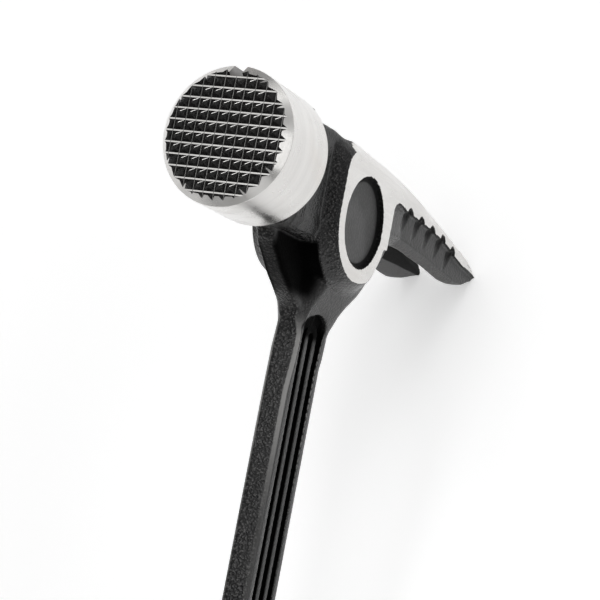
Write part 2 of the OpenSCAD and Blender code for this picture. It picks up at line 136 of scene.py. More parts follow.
@contextmanager
def editing(obj: bpy.types.Object, pick: Pick, test: Callable[..., bool] | None = None) -> Iterator[int]:
    """Open a mesh in edit mode with some of its faces or edges selected.

    Args:
        obj: The mesh object.
        pick: Whether faces or edges are picked.
        test: For faces, called with centre and normal. For edges, called with both ends.
            All are picked when it is None.

    Yields:
        How many were picked.
    """
    take(obj)
    mesh = obj.data
    bpy.context.tool_settings.mesh_select_mode = pick.value
    if pick is Pick.FACES:
        flags = [test is None or bool(test(f.center, f.normal)) for f in mesh.polygons]
    else:
        place = [v.co for v in mesh.vertices]
        flags = [test is None or bool(test(*[place[i] for i in e.vertices])) for e in mesh.edges]
    chosen: set[int] = set()
    for item, flag in zip(mesh.polygons if pick is Pick.FACES else mesh.edges, flags):
        if flag:
            chosen.update(item.vertices)
    mesh.vertices.foreach_set("select", [i in chosen for i in range(len(mesh.vertices))])
    if pick is Pick.FACES:
        mesh.edges.foreach_set("select", [False] * len(mesh.edges))
        mesh.polygons.foreach_set("select", flags)
    else:
        mesh.edges.foreach_set("select", flags)
        mesh.polygons.foreach_set("select", [False] * len(mesh.polygons))
    bpy.ops.object.mode_set(mode="EDIT")
    try:
        yield sum(flags)
    finally:
        bpy.ops.object.mode_set(mode="OBJECT")


def apply_modifier(obj: bpy.types.Object, kind: str, **settings: object) -> None:
    """Add a modifier with its settings to an object and apply it.

    Args:
        obj: The object.
        kind: The modifier's type, as Blender names it.
        **settings: Values of the modifier's properties.
    """
    take(obj)
    modifier = obj.modifiers.new(kind.lower(), kind)
    for name, value in settings.items():
        setattr(modifier, name, value)
    bpy.ops.object.modifier_apply(modifier=modifier.name)


def cut_away(obj: bpy.types.Object, cutter: bpy.types.Object) -> None:
    """Take a cutter out of an object, give the cut faces the cutter's finish, and drop the cutter."""
    apply_modifier(obj, "BOOLEAN", object=cutter, operation="DIFFERENCE", solver="EXACT",
                   material_mode="TRANSFER")
    bpy.data.objects.remove(cutter)


def cut_flat(obj: bpy.types.Object, at: Vector, towards: Vector) -> None:
    """Saw an object off along a plane and close the cut.

    Args:
        obj: The object.
        at: A point of the plane.
        towards: The plane's normal, on the side that goes.
    """
    with editing(obj, Pick.FACES):
        bpy.ops.mesh.bisect(plane_co=at, plane_no=towards, use_fill=True, clear_outer=True)


def block(lowest: Triple, highest: Triple, name: str) -> bpy.types.Object:
    """Add a box, with its place in its mesh.

    Args:
        lowest: Its lowest corner.
        highest: Its highest corner.
        name: Its name.

    Returns:
        The box.
    """
    deselect()
    middle = [(a + b) / 2 for a, b in zip(lowest, highest)]
    bpy.ops.mesh.primitive_cube_add(size=1, location=middle)
    obj = bpy.context.object
    obj.scale = [b - a for a, b in zip(lowest, highest)]
    bpy.ops.object.transform_apply(location=True, rotation=True, scale=True)
    obj.name = obj.data.name = name
    return obj


def lay_down(obj: bpy.types.Object) -> None:
    """Bring a piece drawn on the hammer's own axes to its place in the row's frame.

    Args:
        obj: The piece, whose place goes into its mesh.
    """
    obj.matrix_world = AXES.matrix() @ obj.matrix_world
    take(obj)
    bpy.ops.object.transform_apply(location=True, rotation=True, scale=True)


def copy_of(node: str, name: str) -> bpy.types.Object:
    """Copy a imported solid's mesh, merge its loose triangles and return it as a new piece.

    Args:
        node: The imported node.
        name: The new piece's name.

    Returns:
        The piece, at the origin as the node is.
    """
    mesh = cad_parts[node].data.copy()
    obj = bpy.data.objects.new(name, mesh)
    bpy.context.scene.collection.objects.link(obj)
    mesh.name = name
    mesh.materials.clear()
    take(obj)
    if mesh.has_custom_normals:
        bpy.ops.mesh.customdata_custom_splitnormals_clear()
    with editing(obj, Pick.FACES):
        bpy.ops.mesh.remove_doubles(threshold=WELD)
    return obj


def round_over(obj: bpy.types.Object, voxel: float, passes: int, faces: int,
               softness: Callable[[Vector], float] | None = None) -> None:
    """Round a copied solid's edges over, as a die or a mould leaves them.

    Args:
        obj: The piece.
        voxel: Size of the fine mesh that replaces its own.
        passes: How many times the fine mesh is smoothed.
        faces: The most triangles it keeps.
        softness: Called with each point; how much of the smoothing it gets, from 0 to 1.
    """
    apply_modifier(obj, "REMESH", mode="VOXEL", voxel_size=voxel, use_smooth_shade=True)
    group = obj.vertex_groups.new(name="rounded")
    for vertex in obj.data.vertices:
        group.add([vertex.index], softness(vertex.co) if softness else 1.0, "REPLACE")
    apply_modifier(obj, "SMOOTH", factor=SMOOTHING, iterations=passes, vertex_group=group.name)
    obj.vertex_groups.clear()
    count = sum(len(f.vertices) - 2 for f in obj.data.polygons)
    if count > faces:
        apply_modifier(obj, "DECIMATE", ratio=faces / count)


def ramp(value: float, start: float, end: float) -> float:
    """Return an even rise from 0 where a stretch starts to 1 where it ends."""
    return min(1.0, max(0.0, (value - start) / (end - start)))


def eased(value: float, start: float, end: float) -> float:
    """Return a rise from 0 where a stretch starts to 1 where it ends, eased at both."""
    share = ramp(value, start, end)
    return share * share * (3.0 - 2.0 * share)


def warp(piece: bpy.types.Object, move: Callable[[Vector], None]) -> None:
    """Move every point of a piece by a rule on the hammer's own axes.

    Args:
        piece: The piece, in the row's frame.
        move: Called with each point on the hammer's own axes, which it changes in place.
    """
    lay = AXES.matrix()
    lift = lay.inverted()
    for vertex in piece.data.vertices:
        own = lift @ vertex.co
        move(own)
        vertex.co = lay @ own


def smooth(obj: bpy.types.Object, degrees: float) -> None:
    """Shade a piece smooth except over edges sharper than an angle."""
    take(obj)
    bpy.ops.object.shade_smooth_by_angle(angle=math.radians(degrees))


def paint(obj: bpy.types.Object, material: bpy.types.Material,
          test: Callable[[Vector, Vector], bool] | None = None) -> None:
    """Give a material to a piece, or to those of its faces that pass a test.

    Args:
        obj: The piece.
        material: The material, which gets a slot if it has none yet.
        test: Called with each face's centre and normal; every face passes when it is None.
    """
    slots = obj.data.materials
    if material.name not in slots:
        slots.append(material)
    index = slots.find(material.name)
    for face in obj.data.polygons:
        if test is None or test(face.center, face.normal):
            face.material_index = index


# Materials


class Graph:
    """Adds shader nodes to a tree and joins them."""

    def __init__(self, tree: bpy.types.NodeTree) -> None:
        """Start on a tree, emptied of its nodes."""
        self.tree = tree
        tree.nodes.clear()

    def add(self, kind: str, inputs: dict | None = None, **settings: object) -> bpy.types.Node:
        """Add one node.

        Args:
            kind: The node's type, without its ShaderNode prefix.
            inputs: Values or sockets by input name or number.
            **settings: Values of the node's properties.

        Returns:
            The node.
        """
        node = self.tree.nodes.new("ShaderNode" + kind)
        for name, value in settings.items():
            setattr(node, name, value)
        for name, value in (inputs or {}).items():
            self.feed(node, name, value)
        return node

    def feed(self, node: bpy.types.Node, name: str | int, value: object) -> None:
        """Join a socket to a node's input, or set the input's value.

        Args:
            node: The node.
            name: The input's name or number.
            value: The socket to join, or the plain value.
        """
        if isinstance(value, bpy.types.NodeSocket):
            self.tree.links.new(value, node.inputs[name])
        else:
            node.inputs[name].default_value = value

    def maths(self, operation: str, *values: object, clamp: bool = False) -> bpy.types.NodeSocket:
        """Add a Math node and return its result."""
        node = self.add("Math", dict(enumerate(values)), operation=operation, use_clamp=clamp)
        return node.outputs[0]

    def product(self, *values: object) -> bpy.types.NodeSocket:
        """Multiply values by one another and return the result."""
        return reduce(lambda first, second: self.maths("MULTIPLY", first, second), values)

    def greatest(self, *values: object) -> bpy.types.NodeSocket:
        """Return the greatest of some values."""
        return reduce(lambda first, second: self.maths("MAXIMUM", first, second), values)

    def length(self, first: object, second: object) -> bpy.types.NodeSocket:
        """Return the length of a line from its two legs."""
        return self.maths("SQRT", self.maths("ADD", self.product(first, first), self.product(second, second)))

    def spread(self, value: object, low: float, high: float, to_low: float = 0.0,
               to_high: float = 1.0) -> bpy.types.NodeSocket:
        """Map a range of a value to another, clamped and eased, and return the result."""
        node = self.add("MapRange", {"Value": value, "From Min": low, "From Max": high,
                                     "To Min": to_low, "To Max": to_high},
                        interpolation_type="SMOOTHSTEP")
        return node.outputs["Result"]

    def rise(self, value: object, stretch: Stretch, top: float = 1.0) -> bpy.types.NodeSocket:
        """Return an eased rise from 0 where a stretch starts to its top where it ends."""
        return self.spread(value, *stretch, 0.0, top)

    def blend(self, share: object, first: object, second: object) -> bpy.types.NodeSocket:
        """Mix two colours.

        Args:
            share: The second colour's share.
            first: The colour at share 0, with its alpha.
            second: The colour at share 1, with its alpha.

        Returns:
            The mixed colour.
        """
        return self.add("Mix", {0: share, 6: first, 7: second}, data_type="RGBA").outputs[2]

    def noise(self, where: object, scale: object, detail: float = 2.0,
              roughness: float = 0.5) -> bpy.types.NodeSocket:
        """Add a noise pattern and return its value."""
        node = self.add("TexNoise", {"Vector": where, "Scale": scale, "Detail": detail,
                                     "Roughness": roughness})
        return node.outputs[0]

    def towards(self, normal: object, direction: Triple) -> bpy.types.NodeSocket:
        """Return how nearly a normal points a way that is given on the hammer's own axes."""
        node = self.add("VectorMath", {0: normal, 1: AXES.turn(direction)}, operation="DOT_PRODUCT")
        return node.outputs["Value"]


@dataclass(frozen=True)
class Spot:
    """The shaded point on the hammer's own axes: up the handle, out of the face and off the middle."""

    x: bpy.types.NodeSocket
    z: bpy.types.NodeSocket
    aside: bpy.types.NodeSocket

    @classmethod
    def of(cls, graph: Graph, where: bpy.types.NodeSocket) -> "Spot":
        """Split coordinates that are on the hammer's own axes."""
        own = graph.add("SeparateXYZ", {"Vector": where})
        return cls(own.outputs["X"], own.outputs["Z"], graph.maths("ABSOLUTE", own.outputs["Y"]))


@dataclass(frozen=True)
class HollowShade:
    """Where shade is painted on the forging, as black without gloss: its pocket, its claw, its recesses and
    its grooves.
    """

    pocket_side: Stretch = (8.8 * MM, 7.8 * MM)
    pocket_rib: Stretch = (1.2 * MM, 2.4 * MM)
    rib_share: float = 0.6
    pocket_back: Stretch = (5.0 * MM, 10.0 * MM)
    pocket_front: Stretch = (33.0 * MM, 29.0 * MM)
    pocket_foot: Stretch = (-33.0 * MM, -28.0 * MM)
    pocket_top: Stretch = (-15.7 * MM, -16.7 * MM)
    flute_depth: Stretch = (11.4 * MM, 10.3 * MM)
    flute_tip: Stretch = (-80.0 * MM, -75.0 * MM)
    flute_top: Stretch = (-4.0 * MM, 0.0)
    flute_share: float = 0.9
    slot_side: Stretch = (6.4 * MM, 5.6 * MM)
    slot_share: float = 0.85
    claw_root: Stretch = (-26.0 * MM, -30.0 * MM)
    recess_edge: Stretch = (10.6 * MM, 11.4 * MM)
    recess_wall: Stretch = (13.3 * MM, 13.0 * MM)
    recess_floor: Stretch = (11.0 * MM, 11.3 * MM)
    recess_share: float = 0.8
    groove_slim: float = 0.76
    groove_edge: Stretch = (5.9 * MM, 5.4 * MM)
    groove_rise: Stretch = (-41.0 * MM, -31.0 * MM)
    groove_lift: float = 1.4 * MM
    groove_depth: Stretch = (3.7 * MM, 3.3 * MM)

    def pocket(self, g: Graph, spot: Spot) -> bpy.types.NodeSocket:
        """Mask the pocket under the poll, less so on the rib in its middle.

        Args:
            g: The group's graph.
            spot: The shaded point.

        Returns:
            The mask.
        """
        beside = g.product(g.rise(spot.aside, self.pocket_side),
                           g.spread(spot.aside, *self.pocket_rib, self.rib_share, 1.0))
        behind = g.product(g.rise(spot.z, self.pocket_back), g.rise(spot.z, self.pocket_front))
        under = g.product(g.rise(spot.x, self.pocket_foot), g.rise(spot.x, self.pocket_top))
        return g.product(beside, behind, under)

    def claw(self, g: Graph, spot: Spot, least_claw_shade: bpy.types.NodeSocket) -> bpy.types.NodeSocket:
        """Mask the claw: its flutes and its slot most, the rest of it a little.

        Args:
            g: The group's graph.
            spot: The shaded point.
            least_claw_shade: The mask's least value on the claw.

        Returns:
            The mask.
        """
        flutes = g.product(g.rise(spot.aside, self.flute_depth, self.flute_share),
                           g.rise(spot.z, self.flute_tip), g.rise(spot.x, self.flute_top))
        slot = g.rise(spot.aside, self.slot_side, self.slot_share)
        return g.product(g.rise(spot.z, self.claw_root), g.greatest(flutes, slot, least_claw_shade))

    def recess(self, g: Graph, spot: Spot) -> bpy.types.NodeSocket:
        """Mask the painted shade in a ring at the wall of each cheek's recess.

        Args:
            g: The group's graph.
            spot: The shaded point.

        Returns:
            The mask.
        """
        ring = g.length(g.maths("SUBTRACT", spot.x, RECESS_X), spot.z)
        return g.product(g.rise(ring, self.recess_edge, self.recess_share), g.rise(ring, self.recess_wall),
                         g.rise(spot.aside, self.recess_floor))

    def groove(self, g: Graph, spot: Spot) -> bpy.types.NodeSocket:
        """Mask the channels of the shank's grooves, up to their round heads.

        Args:
            g: The group's graph.
            spot: The shaded point.

        Returns:
            The mask.
        """
        above = g.maths("MAXIMUM", g.maths("SUBTRACT", spot.x, GROOVE_HEAD_X), 0.0)
        edge = g.length(above, g.product(spot.z, self.groove_slim))
        depth = g.maths("SUBTRACT", spot.aside, g.rise(spot.x, self.groove_rise, self.groove_lift))
        return g.product(g.rise(edge, self.groove_edge), g.rise(depth, self.groove_depth))


@dataclass(frozen=True)
class CornerGlints:
    """Where highlights are painted on the coating in light grey: the shank's corners and the tines' lower
    bevels.
    """

    front: Triple = (0.0, 0.68, 0.73)
    rear: Triple = (0.0, 0.68, -0.73)
    whole: float = 0.96
    rear_share: float = 0.5
    shank_top: Stretch = (-33.0 * MM, -42.0 * MM)
    shank_low: Stretch = (-95.0 * MM, -55.0 * MM)
    low_share: float = 0.15
    tine: Triple = (-0.72, 0.69, 0.0)
    tine_reach: Stretch = (0.86, 0.95)
    tine_share: float = 0.2
    claw_root: Stretch = (-22.0 * MM, -26.0 * MM)

    def shank(self, g: Graph, spot: Spot, normal: bpy.types.NodeSocket,
              reach: bpy.types.NodeSocket) -> bpy.types.NodeSocket:
        """Mask the shank's corners, less so behind and lower down.

        Args:
            g: The group's graph.
            spot: The shaded point.
            normal: Its normal, as if on the far side.
            reach: How nearly the normal points to a corner where the mask starts.

        Returns:
            The mask.
        """
        corner = g.spread(g.towards(normal, self.front), reach, self.whole)
        rear = g.spread(g.towards(normal, self.rear), reach, self.whole, 0.0, self.rear_share)
        down = g.product(g.rise(spot.x, self.shank_top),
                         g.spread(spot.x, *self.shank_low, self.low_share, 1.0))
        return g.product(g.greatest(corner, rear), down)

    def tines(self, g: Graph, spot: Spot, normal: bpy.types.NodeSocket) -> bpy.types.NodeSocket:
        """Return the mask of the tines' lower bevels."""
        return g.product(g.rise(g.towards(normal, self.tine), self.tine_reach, self.tine_share),
                         g.rise(spot.z, self.claw_root))


@dataclass
class Effects:
    """Node groups that several finishes share, each built once, on its first use."""

    lump_share: float = 0.65
    cell_levels: Stretch = (0.75, 0.1)
    pit_levels: Stretch = (0.42, 0.3)
    peak_levels: Stretch = (0.52, 0.68)
    broad_lines: float = 0.22
    fine_share: float = 0.5
    patch_scale: float = 260.0
    patch_levels: Stretch = (0.3, 0.62)
    patch_share: float = 0.35
    smear_levels: Stretch = (0.35, 0.68)
    # Painted shade in the forging's hollows
    hollows: HollowShade = HollowShade()
    # Painted highlights on the forging's corners and the tines' bevels
    corners: CornerGlints = CornerGlints()

    @staticmethod
    def start(name: str, numbers: dict[str, float],
              results: list[str]) -> tuple[Graph, bpy.types.Node, bpy.types.Node]:
        """Make an empty group with a vector input, number inputs and value outputs.

        Args:
            name: The group's name.
            numbers: Its number inputs and their usual values.
            results: Its value outputs.

        Returns:
            The graph, the group's input node and its output node.
        """
        tree = bpy.data.node_groups.new(name, "ShaderNodeTree")
        graph = Graph(tree)
        tree.interface.new_socket("Vector", in_out="INPUT", socket_type="NodeSocketVector")
        for label, value in numbers.items():
            socket = tree.interface.new_socket(label, in_out="INPUT", socket_type="NodeSocketFloat")
            socket.default_value = value
        for label in results:
            tree.interface.new_socket(label, in_out="OUTPUT", socket_type="NodeSocketFloat")
        return graph, tree.nodes.new("NodeGroupInput"), tree.nodes.new("NodeGroupOutput")

    @cached_property
    def pebbled(self) -> bpy.types.NodeTree:
        """Build the group for a blasted, coated or moulded grain.

        Returns:
            The group, which gives a height, its pits and its peaks.
        """
        g, given, out = self.start("pebbled", {"Size": 0.6 * MM}, ["Height", "Pits", "Peaks"])
        scale = g.maths("DIVIDE", 1.0, given.outputs["Size"])
        lumps = g.noise(given.outputs["Vector"], scale, detail=3.0, roughness=0.62)
        cells = g.add("TexVoronoi", {"Vector": given.outputs["Vector"], "Scale": scale,
                                     "Randomness": 1.0}, feature="SMOOTH_F1")
        round_cells = g.rise(cells.outputs["Distance"], self.cell_levels)
        height = g.maths("ADD", g.product(lumps, self.lump_share),
                         g.product(round_cells, 1.0 - self.lump_share))
        g.feed(out, "Height", height)
        g.feed(out, "Pits", g.rise(lumps, self.pit_levels))
        g.feed(out, "Peaks", g.rise(height, self.peak_levels))
        return g.tree

    @cached_property
    def brushed(self) -> bpy.types.NodeTree:
        """Build the group for grinding lines along a stretched vector.

        Returns:
            The group, which gives a height and a shade.
        """
        g, given, out = self.start("brushed", {"Lines": 90.0}, ["Height", "Shade"])
        fine = g.noise(given.outputs["Vector"], given.outputs["Lines"], detail=4.0, roughness=0.7)
        broad = g.noise(given.outputs["Vector"], g.product(given.outputs["Lines"], self.broad_lines))
        g.feed(out, "Height", fine)
        g.feed(out, "Shade", g.maths("ADD", g.product(fine, self.fine_share),
                                     g.product(broad, 1.0 - self.fine_share)))
        return g.tree

    @cached_property
    def worn_and_glinting_edges(self) -> bpy.types.NodeTree:
        """Build the group that masks the convex edges, worn by handling and, on the forging, also a painted
        edge highlight.

        Returns:
            The group, which gives a mask.
        """
        g, given, out = self.start("worn_and_glinting_edges", {"From": 0.53, "To": 0.6}, ["Mask"])
        edge = g.add("NewGeometry").outputs["Pointiness"]
        worn_edge_and_glint = g.add("MapRange", {"Value": edge, "From Min": given.outputs["From"],
                                    "From Max": given.outputs["To"]}).outputs["Result"]
        patchy = g.spread(g.noise(given.outputs["Vector"], self.patch_scale, detail=4.0, roughness=0.7),
                          *self.patch_levels, self.patch_share, 1.0)
        g.feed(out, "Mask", g.maths("MULTIPLY", worn_edge_and_glint, patchy, clamp=True))
        return g.tree

    @cached_property
    def handled(self) -> bpy.types.NodeTree:
        """Build the group for soft smears that change a surface's gloss.

        Returns:
            The group, which gives a mask.
        """
        g, given, out = self.start("handled", {"Scale": 35.0}, ["Mask"])
        smears = g.noise(given.outputs["Vector"], given.outputs["Scale"], detail=5.0, roughness=0.6)
        g.feed(out, "Mask", g.rise(smears, self.smear_levels))
        return g.tree

    @cached_property
    def painted_hollow_shade(self) -> bpy.types.NodeTree:
        """Build the group that masks the painted shade in the forging's hollows.

        Returns:
            The group, which gives a mask.
        """
        g, given, out = self.start("painted_hollow_shade", {"LeastClawShade": 0.4}, ["Mask"])
        spot = Spot.of(g, given.outputs["Vector"])
        g.feed(out, "Mask", g.greatest(self.hollows.pocket(g, spot),
                                       self.hollows.claw(g, spot, given.outputs["LeastClawShade"]),
                                       self.hollows.groove(g, spot), self.hollows.recess(g, spot)))
        return g.tree

    @cached_property
    def painted_corner_glints(self) -> bpy.types.NodeTree:
        """Build the group that masks the painted highlights on the forging's corners and bevels.

        Returns:
            The group, which gives a mask.
        """
        g, given, out = self.start("painted_corner_glints", {"Reach": 0.86}, ["Mask"])
        spot = Spot.of(g, given.outputs["Vector"])
        facing = g.add("SeparateXYZ", {"Vector": g.add("NewGeometry").outputs["Normal"]})
        folded = g.add("CombineXYZ", {"X": facing.outputs["X"], "Z": facing.outputs["Z"],
                                      "Y": g.maths("ABSOLUTE", facing.outputs["Y"])}).outputs[0]
        g.feed(out, "Mask", g.greatest(self.corners.shank(g, spot, folded, given.outputs["Reach"]),
                                       self.corners.tines(g, spot, folded)))
        return g.tree

    def place(self, graph: Graph, tree: bpy.types.NodeTree, **inputs: object) -> bpy.types.Node:
        """Place a group in a material's graph with its own values.

        Args:
            graph: The material's graph.
            tree: The group.
            **inputs: Values or sockets by the group's input names.

        Returns:
            The group's node.
        """
        return graph.add("Group", inputs, node_tree=tree)


EFFECTS = Effects()
DRESSED: dict[str, bpy.types.Material] = {}


@dataclass(frozen=True)
class Finish:
    """What every finish has: a name, the record's slot it follows and smears that change its gloss."""

    name: str
    slot: str
    roughness: float = 0.2
    rougher: float = 0.3
    smear_scale: float = 42.0

    def material(self) -> bpy.types.Material:
        """Find the finish's material, or build it on its first use.

        Returns:
            The material.
        """
        found = DRESSED.get(self.name)
        if found is None:
            found = DRESSED[self.name] = bpy.data.materials.new(self.name)
            found.use_nodes = True
            graph = Graph(found.node_tree)
            shader = graph.add("BsdfPrincipled")
            output = graph.add("OutputMaterial")
            graph.tree.links.new(shader.outputs[0], output.inputs[0])
            where = graph.add("TexCoord").outputs["Object"]
            self.lay(graph, shader, where)
        return found

    def lay(self, graph: Graph, shader: bpy.types.Node, where: bpy.types.NodeSocket) -> None:
        """Build the finish's nodes into the shader; each finish has its own."""
        raise NotImplementedError

    def own_axes(self, graph: Graph, where: bpy.types.NodeSocket,
                 stretch: Triple = (1.0, 1.0, 1.0)) -> bpy.types.NodeSocket:
        """Turn object coordinates to the hammer's own axes, stretched along them.

        Args:
            graph: The material's graph.
            where: The object coordinates.
            stretch: Factors along the hammer's own axes.

        Returns:
            The coordinates.
        """
        turned = graph.add("Mapping", {"Vector": where, "Location": AXES.shift,
                                       "Rotation": (0.0, -AXES.tilt, 0.0)}, vector_type="TEXTURE")
        return graph.add("Mapping", {"Vector": turned.outputs[0], "Scale": stretch}).outputs[0]

    def smears(self, graph: Graph, where: bpy.types.NodeSocket) -> bpy.types.NodeSocket:
        """Return the mask of the soft smears that handling leaves."""
        return EFFECTS.place(graph, EFFECTS.handled, Vector=where, Scale=self.smear_scale).outputs["Mask"]

    def smeared(self, graph: Graph, smears: bpy.types.NodeSocket) -> bpy.types.NodeSocket:
        """Return the roughness, which is another where the smears are."""
        return graph.spread(smears, 0.0, 1.0, self.roughness, self.rougher)

    @staticmethod
    def bump(graph: Graph, shader: bpy.types.Node, height: object, depth: float,
             strength: float = 1.0) -> None:
        """Feed a height to the shader's normal, at a real depth."""
        node = graph.add("Bump", {"Height": height, "Distance": depth, "Strength": strength})
        graph.feed(shader, "Normal", node.outputs[0])


@dataclass(frozen=True)
class CoatedSteel(Finish):
    """Semi-gloss black coating over forged steel, pebbled by the blast before it."""

    base: Colour = (0.006, 0.006, 0.0065)
    dusty: Colour = (0.018, 0.0175, 0.017)
    # Lighter convex edges: partly worn coating, partly a painted edge highlight
    worn_edge_and_glint: Colour = (0.16, 0.155, 0.15)
    # Painted highlight: the light grey put on the shank's front corners and the tines' lower bevels
    corner_glint: Colour = (0.36, 0.356, 0.35)
    # Painted highlight on the peaks of the pebbled grain, weaker on faces that look sideways
    speckle_highlight: Colour = (0.1, 0.098, 0.096)
    pitted: Colour = (0.004, 0.004, 0.004)
    # Painted shade: the colour put in the forging's hollows, in its pocket, on its claw, round its recesses
    # and in its shank grooves
    shade_colour: Colour = (0.003, 0.003, 0.003)
    speckle_highlights: float = 0.75
    rougher: float = 0.32
    pebble: float = 0.62 * MM
    depth: float = 0.34 * MM
    edge_glint_and_wear: float = 0.25
    gloss: float = 0.42
    smear_share: float = 0.6
    edge_from: float = 0.525
    edge_to: float = 0.62
    pit_share: float = 0.7
    corner_glint_share: float = 0.8
    shade_metallic_share: float = 0.95
    sideways: Stretch = (0.5, 0.85)
    side_speckle_highlight_share: float = 0.2
    side_pebble_share: float = 0.4
    corner_pebble_share: float = 0.25
    # Whether the painted shade in the hollows and the painted highlights on the corners go on
    hollows: bool = False

    def lay(self, graph: Graph, shader: bpy.types.Node, where: bpy.types.NodeSocket) -> None:
        """Build the coating, and on the forging its painted shade in the hollows and painted highlights on
        the corners.

        Args:
            graph: The material's graph.
            shader: Its shader.
            where: The object coordinates.
        """
        grain = EFFECTS.place(graph, EFFECTS.pebbled, Vector=where, Size=self.pebble)
        smears = self.smears(graph, where)
        coat = self.coat(graph, where, grain, smears)
        roughness = self.smeared(graph, smears)
        height = grain.outputs["Height"]
        if self.hollows:
            own = self.own_axes(graph, where)
            # Painted shade in the hollows; where it lies, the Metallic input and the roughness take the gloss
            # off as well
            hollow_shade_mask = EFFECTS.place(graph, EFFECTS.painted_hollow_shade, Vector=own).outputs["Mask"]
            # Painted highlights on the shank's corners and the tines' lower bevels
            corner_glint_mask = EFFECTS.place(graph, EFFECTS.painted_corner_glints, Vector=own).outputs["Mask"]
            coat = graph.blend(graph.product(corner_glint_mask, self.corner_glint_share), coat, (*self.corner_glint, 1.0))
            coat = graph.blend(hollow_shade_mask, coat, (*self.shade_colour, 1.0))
            shade_metallic = graph.product(hollow_shade_mask, self.shade_metallic_share)
            graph.feed(shader, "Metallic", shade_metallic)
            roughness = graph.greatest(roughness, shade_metallic)
            height = graph.product(height, self.by_facing(graph, 1.0, self.side_pebble_share),
                                   graph.spread(corner_glint_mask, 0.0, 1.0, 1.0, self.corner_pebble_share))
        graph.feed(shader, "Specular IOR Level", self.gloss)
        graph.feed(shader, "Base Color", coat)
        graph.feed(shader, "Roughness", roughness)
        self.bump(graph, shader, height, self.depth)

    def coat(self, graph: Graph, where: bpy.types.NodeSocket, grain: bpy.types.Node,
             smears: bpy.types.NodeSocket) -> bpy.types.NodeSocket:
        """Colour the coating by its smears and pits, with painted highlights on its grain's peaks and on its
        edges, which are partly worn.

        Args:
            graph: The material's graph.
            where: The object coordinates.
            grain: The pebbled group's node.
            smears: The smears' mask.

        Returns:
            The colour.
        """
        # Convex edges: partly worn coating, partly a painted edge highlight
        edges = EFFECTS.place(graph, EFFECTS.worn_and_glinting_edges, Vector=where, From=self.edge_from, To=self.edge_to)
        ground = graph.blend(graph.product(smears, self.smear_share),
                             (*self.base, 1.0), (*self.dusty, 1.0))
        pitted = graph.blend(graph.product(grain.outputs["Pits"], self.pit_share),
                             ground, (*self.pitted, 1.0))
        # Painted highlight on the grain's peaks, weaker on faces that look sideways
        speckle_highlights = self.by_facing(graph, self.speckle_highlights, self.side_speckle_highlight_share * self.speckle_highlights)
        speckled = graph.blend(graph.product(grain.outputs["Peaks"], speckle_highlights), pitted, (*self.speckle_highlight, 1.0))
        return graph.blend(graph.product(edges.outputs["Mask"], self.edge_glint_and_wear), speckled, (*self.worn_edge_and_glint, 1.0))

    def by_facing(self, graph: Graph, ahead: float, sideways: float) -> bpy.types.NodeSocket:
        """Return one value on the faces that look ahead or up and another on those that look sideways."""
        facing = graph.add("SeparateXYZ", {"Vector": graph.add("NewGeometry").outputs["Normal"]})
        return graph.spread(graph.maths("ABSOLUTE", facing.outputs["Y"]), *self.sideways, ahead, sideways)


@dataclass(frozen=True)
class GroundSteel(Finish):
    """Bright steel, ground on a wheel or a belt, with its lines one way."""

    grain: Grain = Grain.AROUND_POLL
    base: Colour = (0.69, 0.68, 0.665)
    shaded: Colour = (0.65, 0.64, 0.625)
    warm: Colour = (0.58, 0.5, 0.43)
    warmth: float = 0.25
    rougher: float = 0.36
    lines: float = 130.0
    depth: float = 0.0015 * MM
    smear_scale: float = 60.0
    bloom_scale: float = 38.0
    bloom_levels: Stretch = (0.5, 0.72)
    shade_levels: Stretch = (0.38, 0.62)

    def lay(self, graph: Graph, shader: bpy.types.Node, where: bpy.types.NodeSocket) -> None:
        """Build the ground metal: lines, smears and a faint warm bloom.

        Args:
            graph: The material's graph.
            shader: Its shader.
            where: The object coordinates.
        """
        along = self.own_axes(graph, where, self.grain.value)
        lines = EFFECTS.place(graph, EFFECTS.brushed, Vector=along, Lines=self.lines)
        bloom = graph.rise(graph.noise(where, self.bloom_scale), self.bloom_levels, self.warmth)
        metal = graph.blend(graph.rise(lines.outputs["Shade"], self.shade_levels),
                            (*self.shaded, 1.0), (*self.base, 1.0))
        graph.feed(shader, "Base Color", graph.blend(bloom, metal, (*self.warm, 1.0)))
        graph.feed(shader, "Metallic", 1.0)
        graph.feed(shader, "Roughness", self.smeared(graph, self.smears(graph, where)))
        self.bump(graph, shader, lines.outputs["Height"], self.depth)


@dataclass(frozen=True)
class MouldedPlastic(Finish):
    """Plastic or rubber out of a spark-eroded mould, with an even fine grain."""

    base: Colour = (0.02, 0.02, 0.022)
    scuffed: Colour = (0.05, 0.05, 0.052)
    roughness: float = 0.5
    rougher: float = 0.68
    pebble: float = 0.42 * MM
    depth: float = 0.05 * MM
    sheen: float = 0.0
    smear_scale: float = 28.0
    smear_share: float = 0.35
    edge_from: float = 0.52
    edge_to: float = 0.66
    edge_share: float = 0.5

    def lay(self, graph: Graph, shader: bpy.types.Node, where: bpy.types.NodeSocket) -> None:
        """Build the moulded grain, its scuffs and its smears.

        Args:
            graph: The material's graph.
            shader: Its shader.
            where: The object coordinates.
        """
        grain = EFFECTS.place(graph, EFFECTS.pebbled, Vector=where, Size=self.pebble)
        smears = self.smears(graph, where)
        edges = EFFECTS.place(graph, EFFECTS.worn_and_glinting_edges, Vector=where, From=self.edge_from, To=self.edge_to)
        scuffs = graph.maths("ADD", graph.product(smears, self.smear_share),
                             graph.product(edges.outputs["Mask"], self.edge_share), clamp=True)
        graph.feed(shader, "Base Color", graph.blend(scuffs, (*self.base, 1.0), (*self.scuffed, 1.0)))
        graph.feed(shader, "Roughness", self.smeared(graph, smears))
        graph.feed(shader, "Sheen Weight", self.sheen)
        self.bump(graph, shader, grain.outputs["Height"], self.depth)


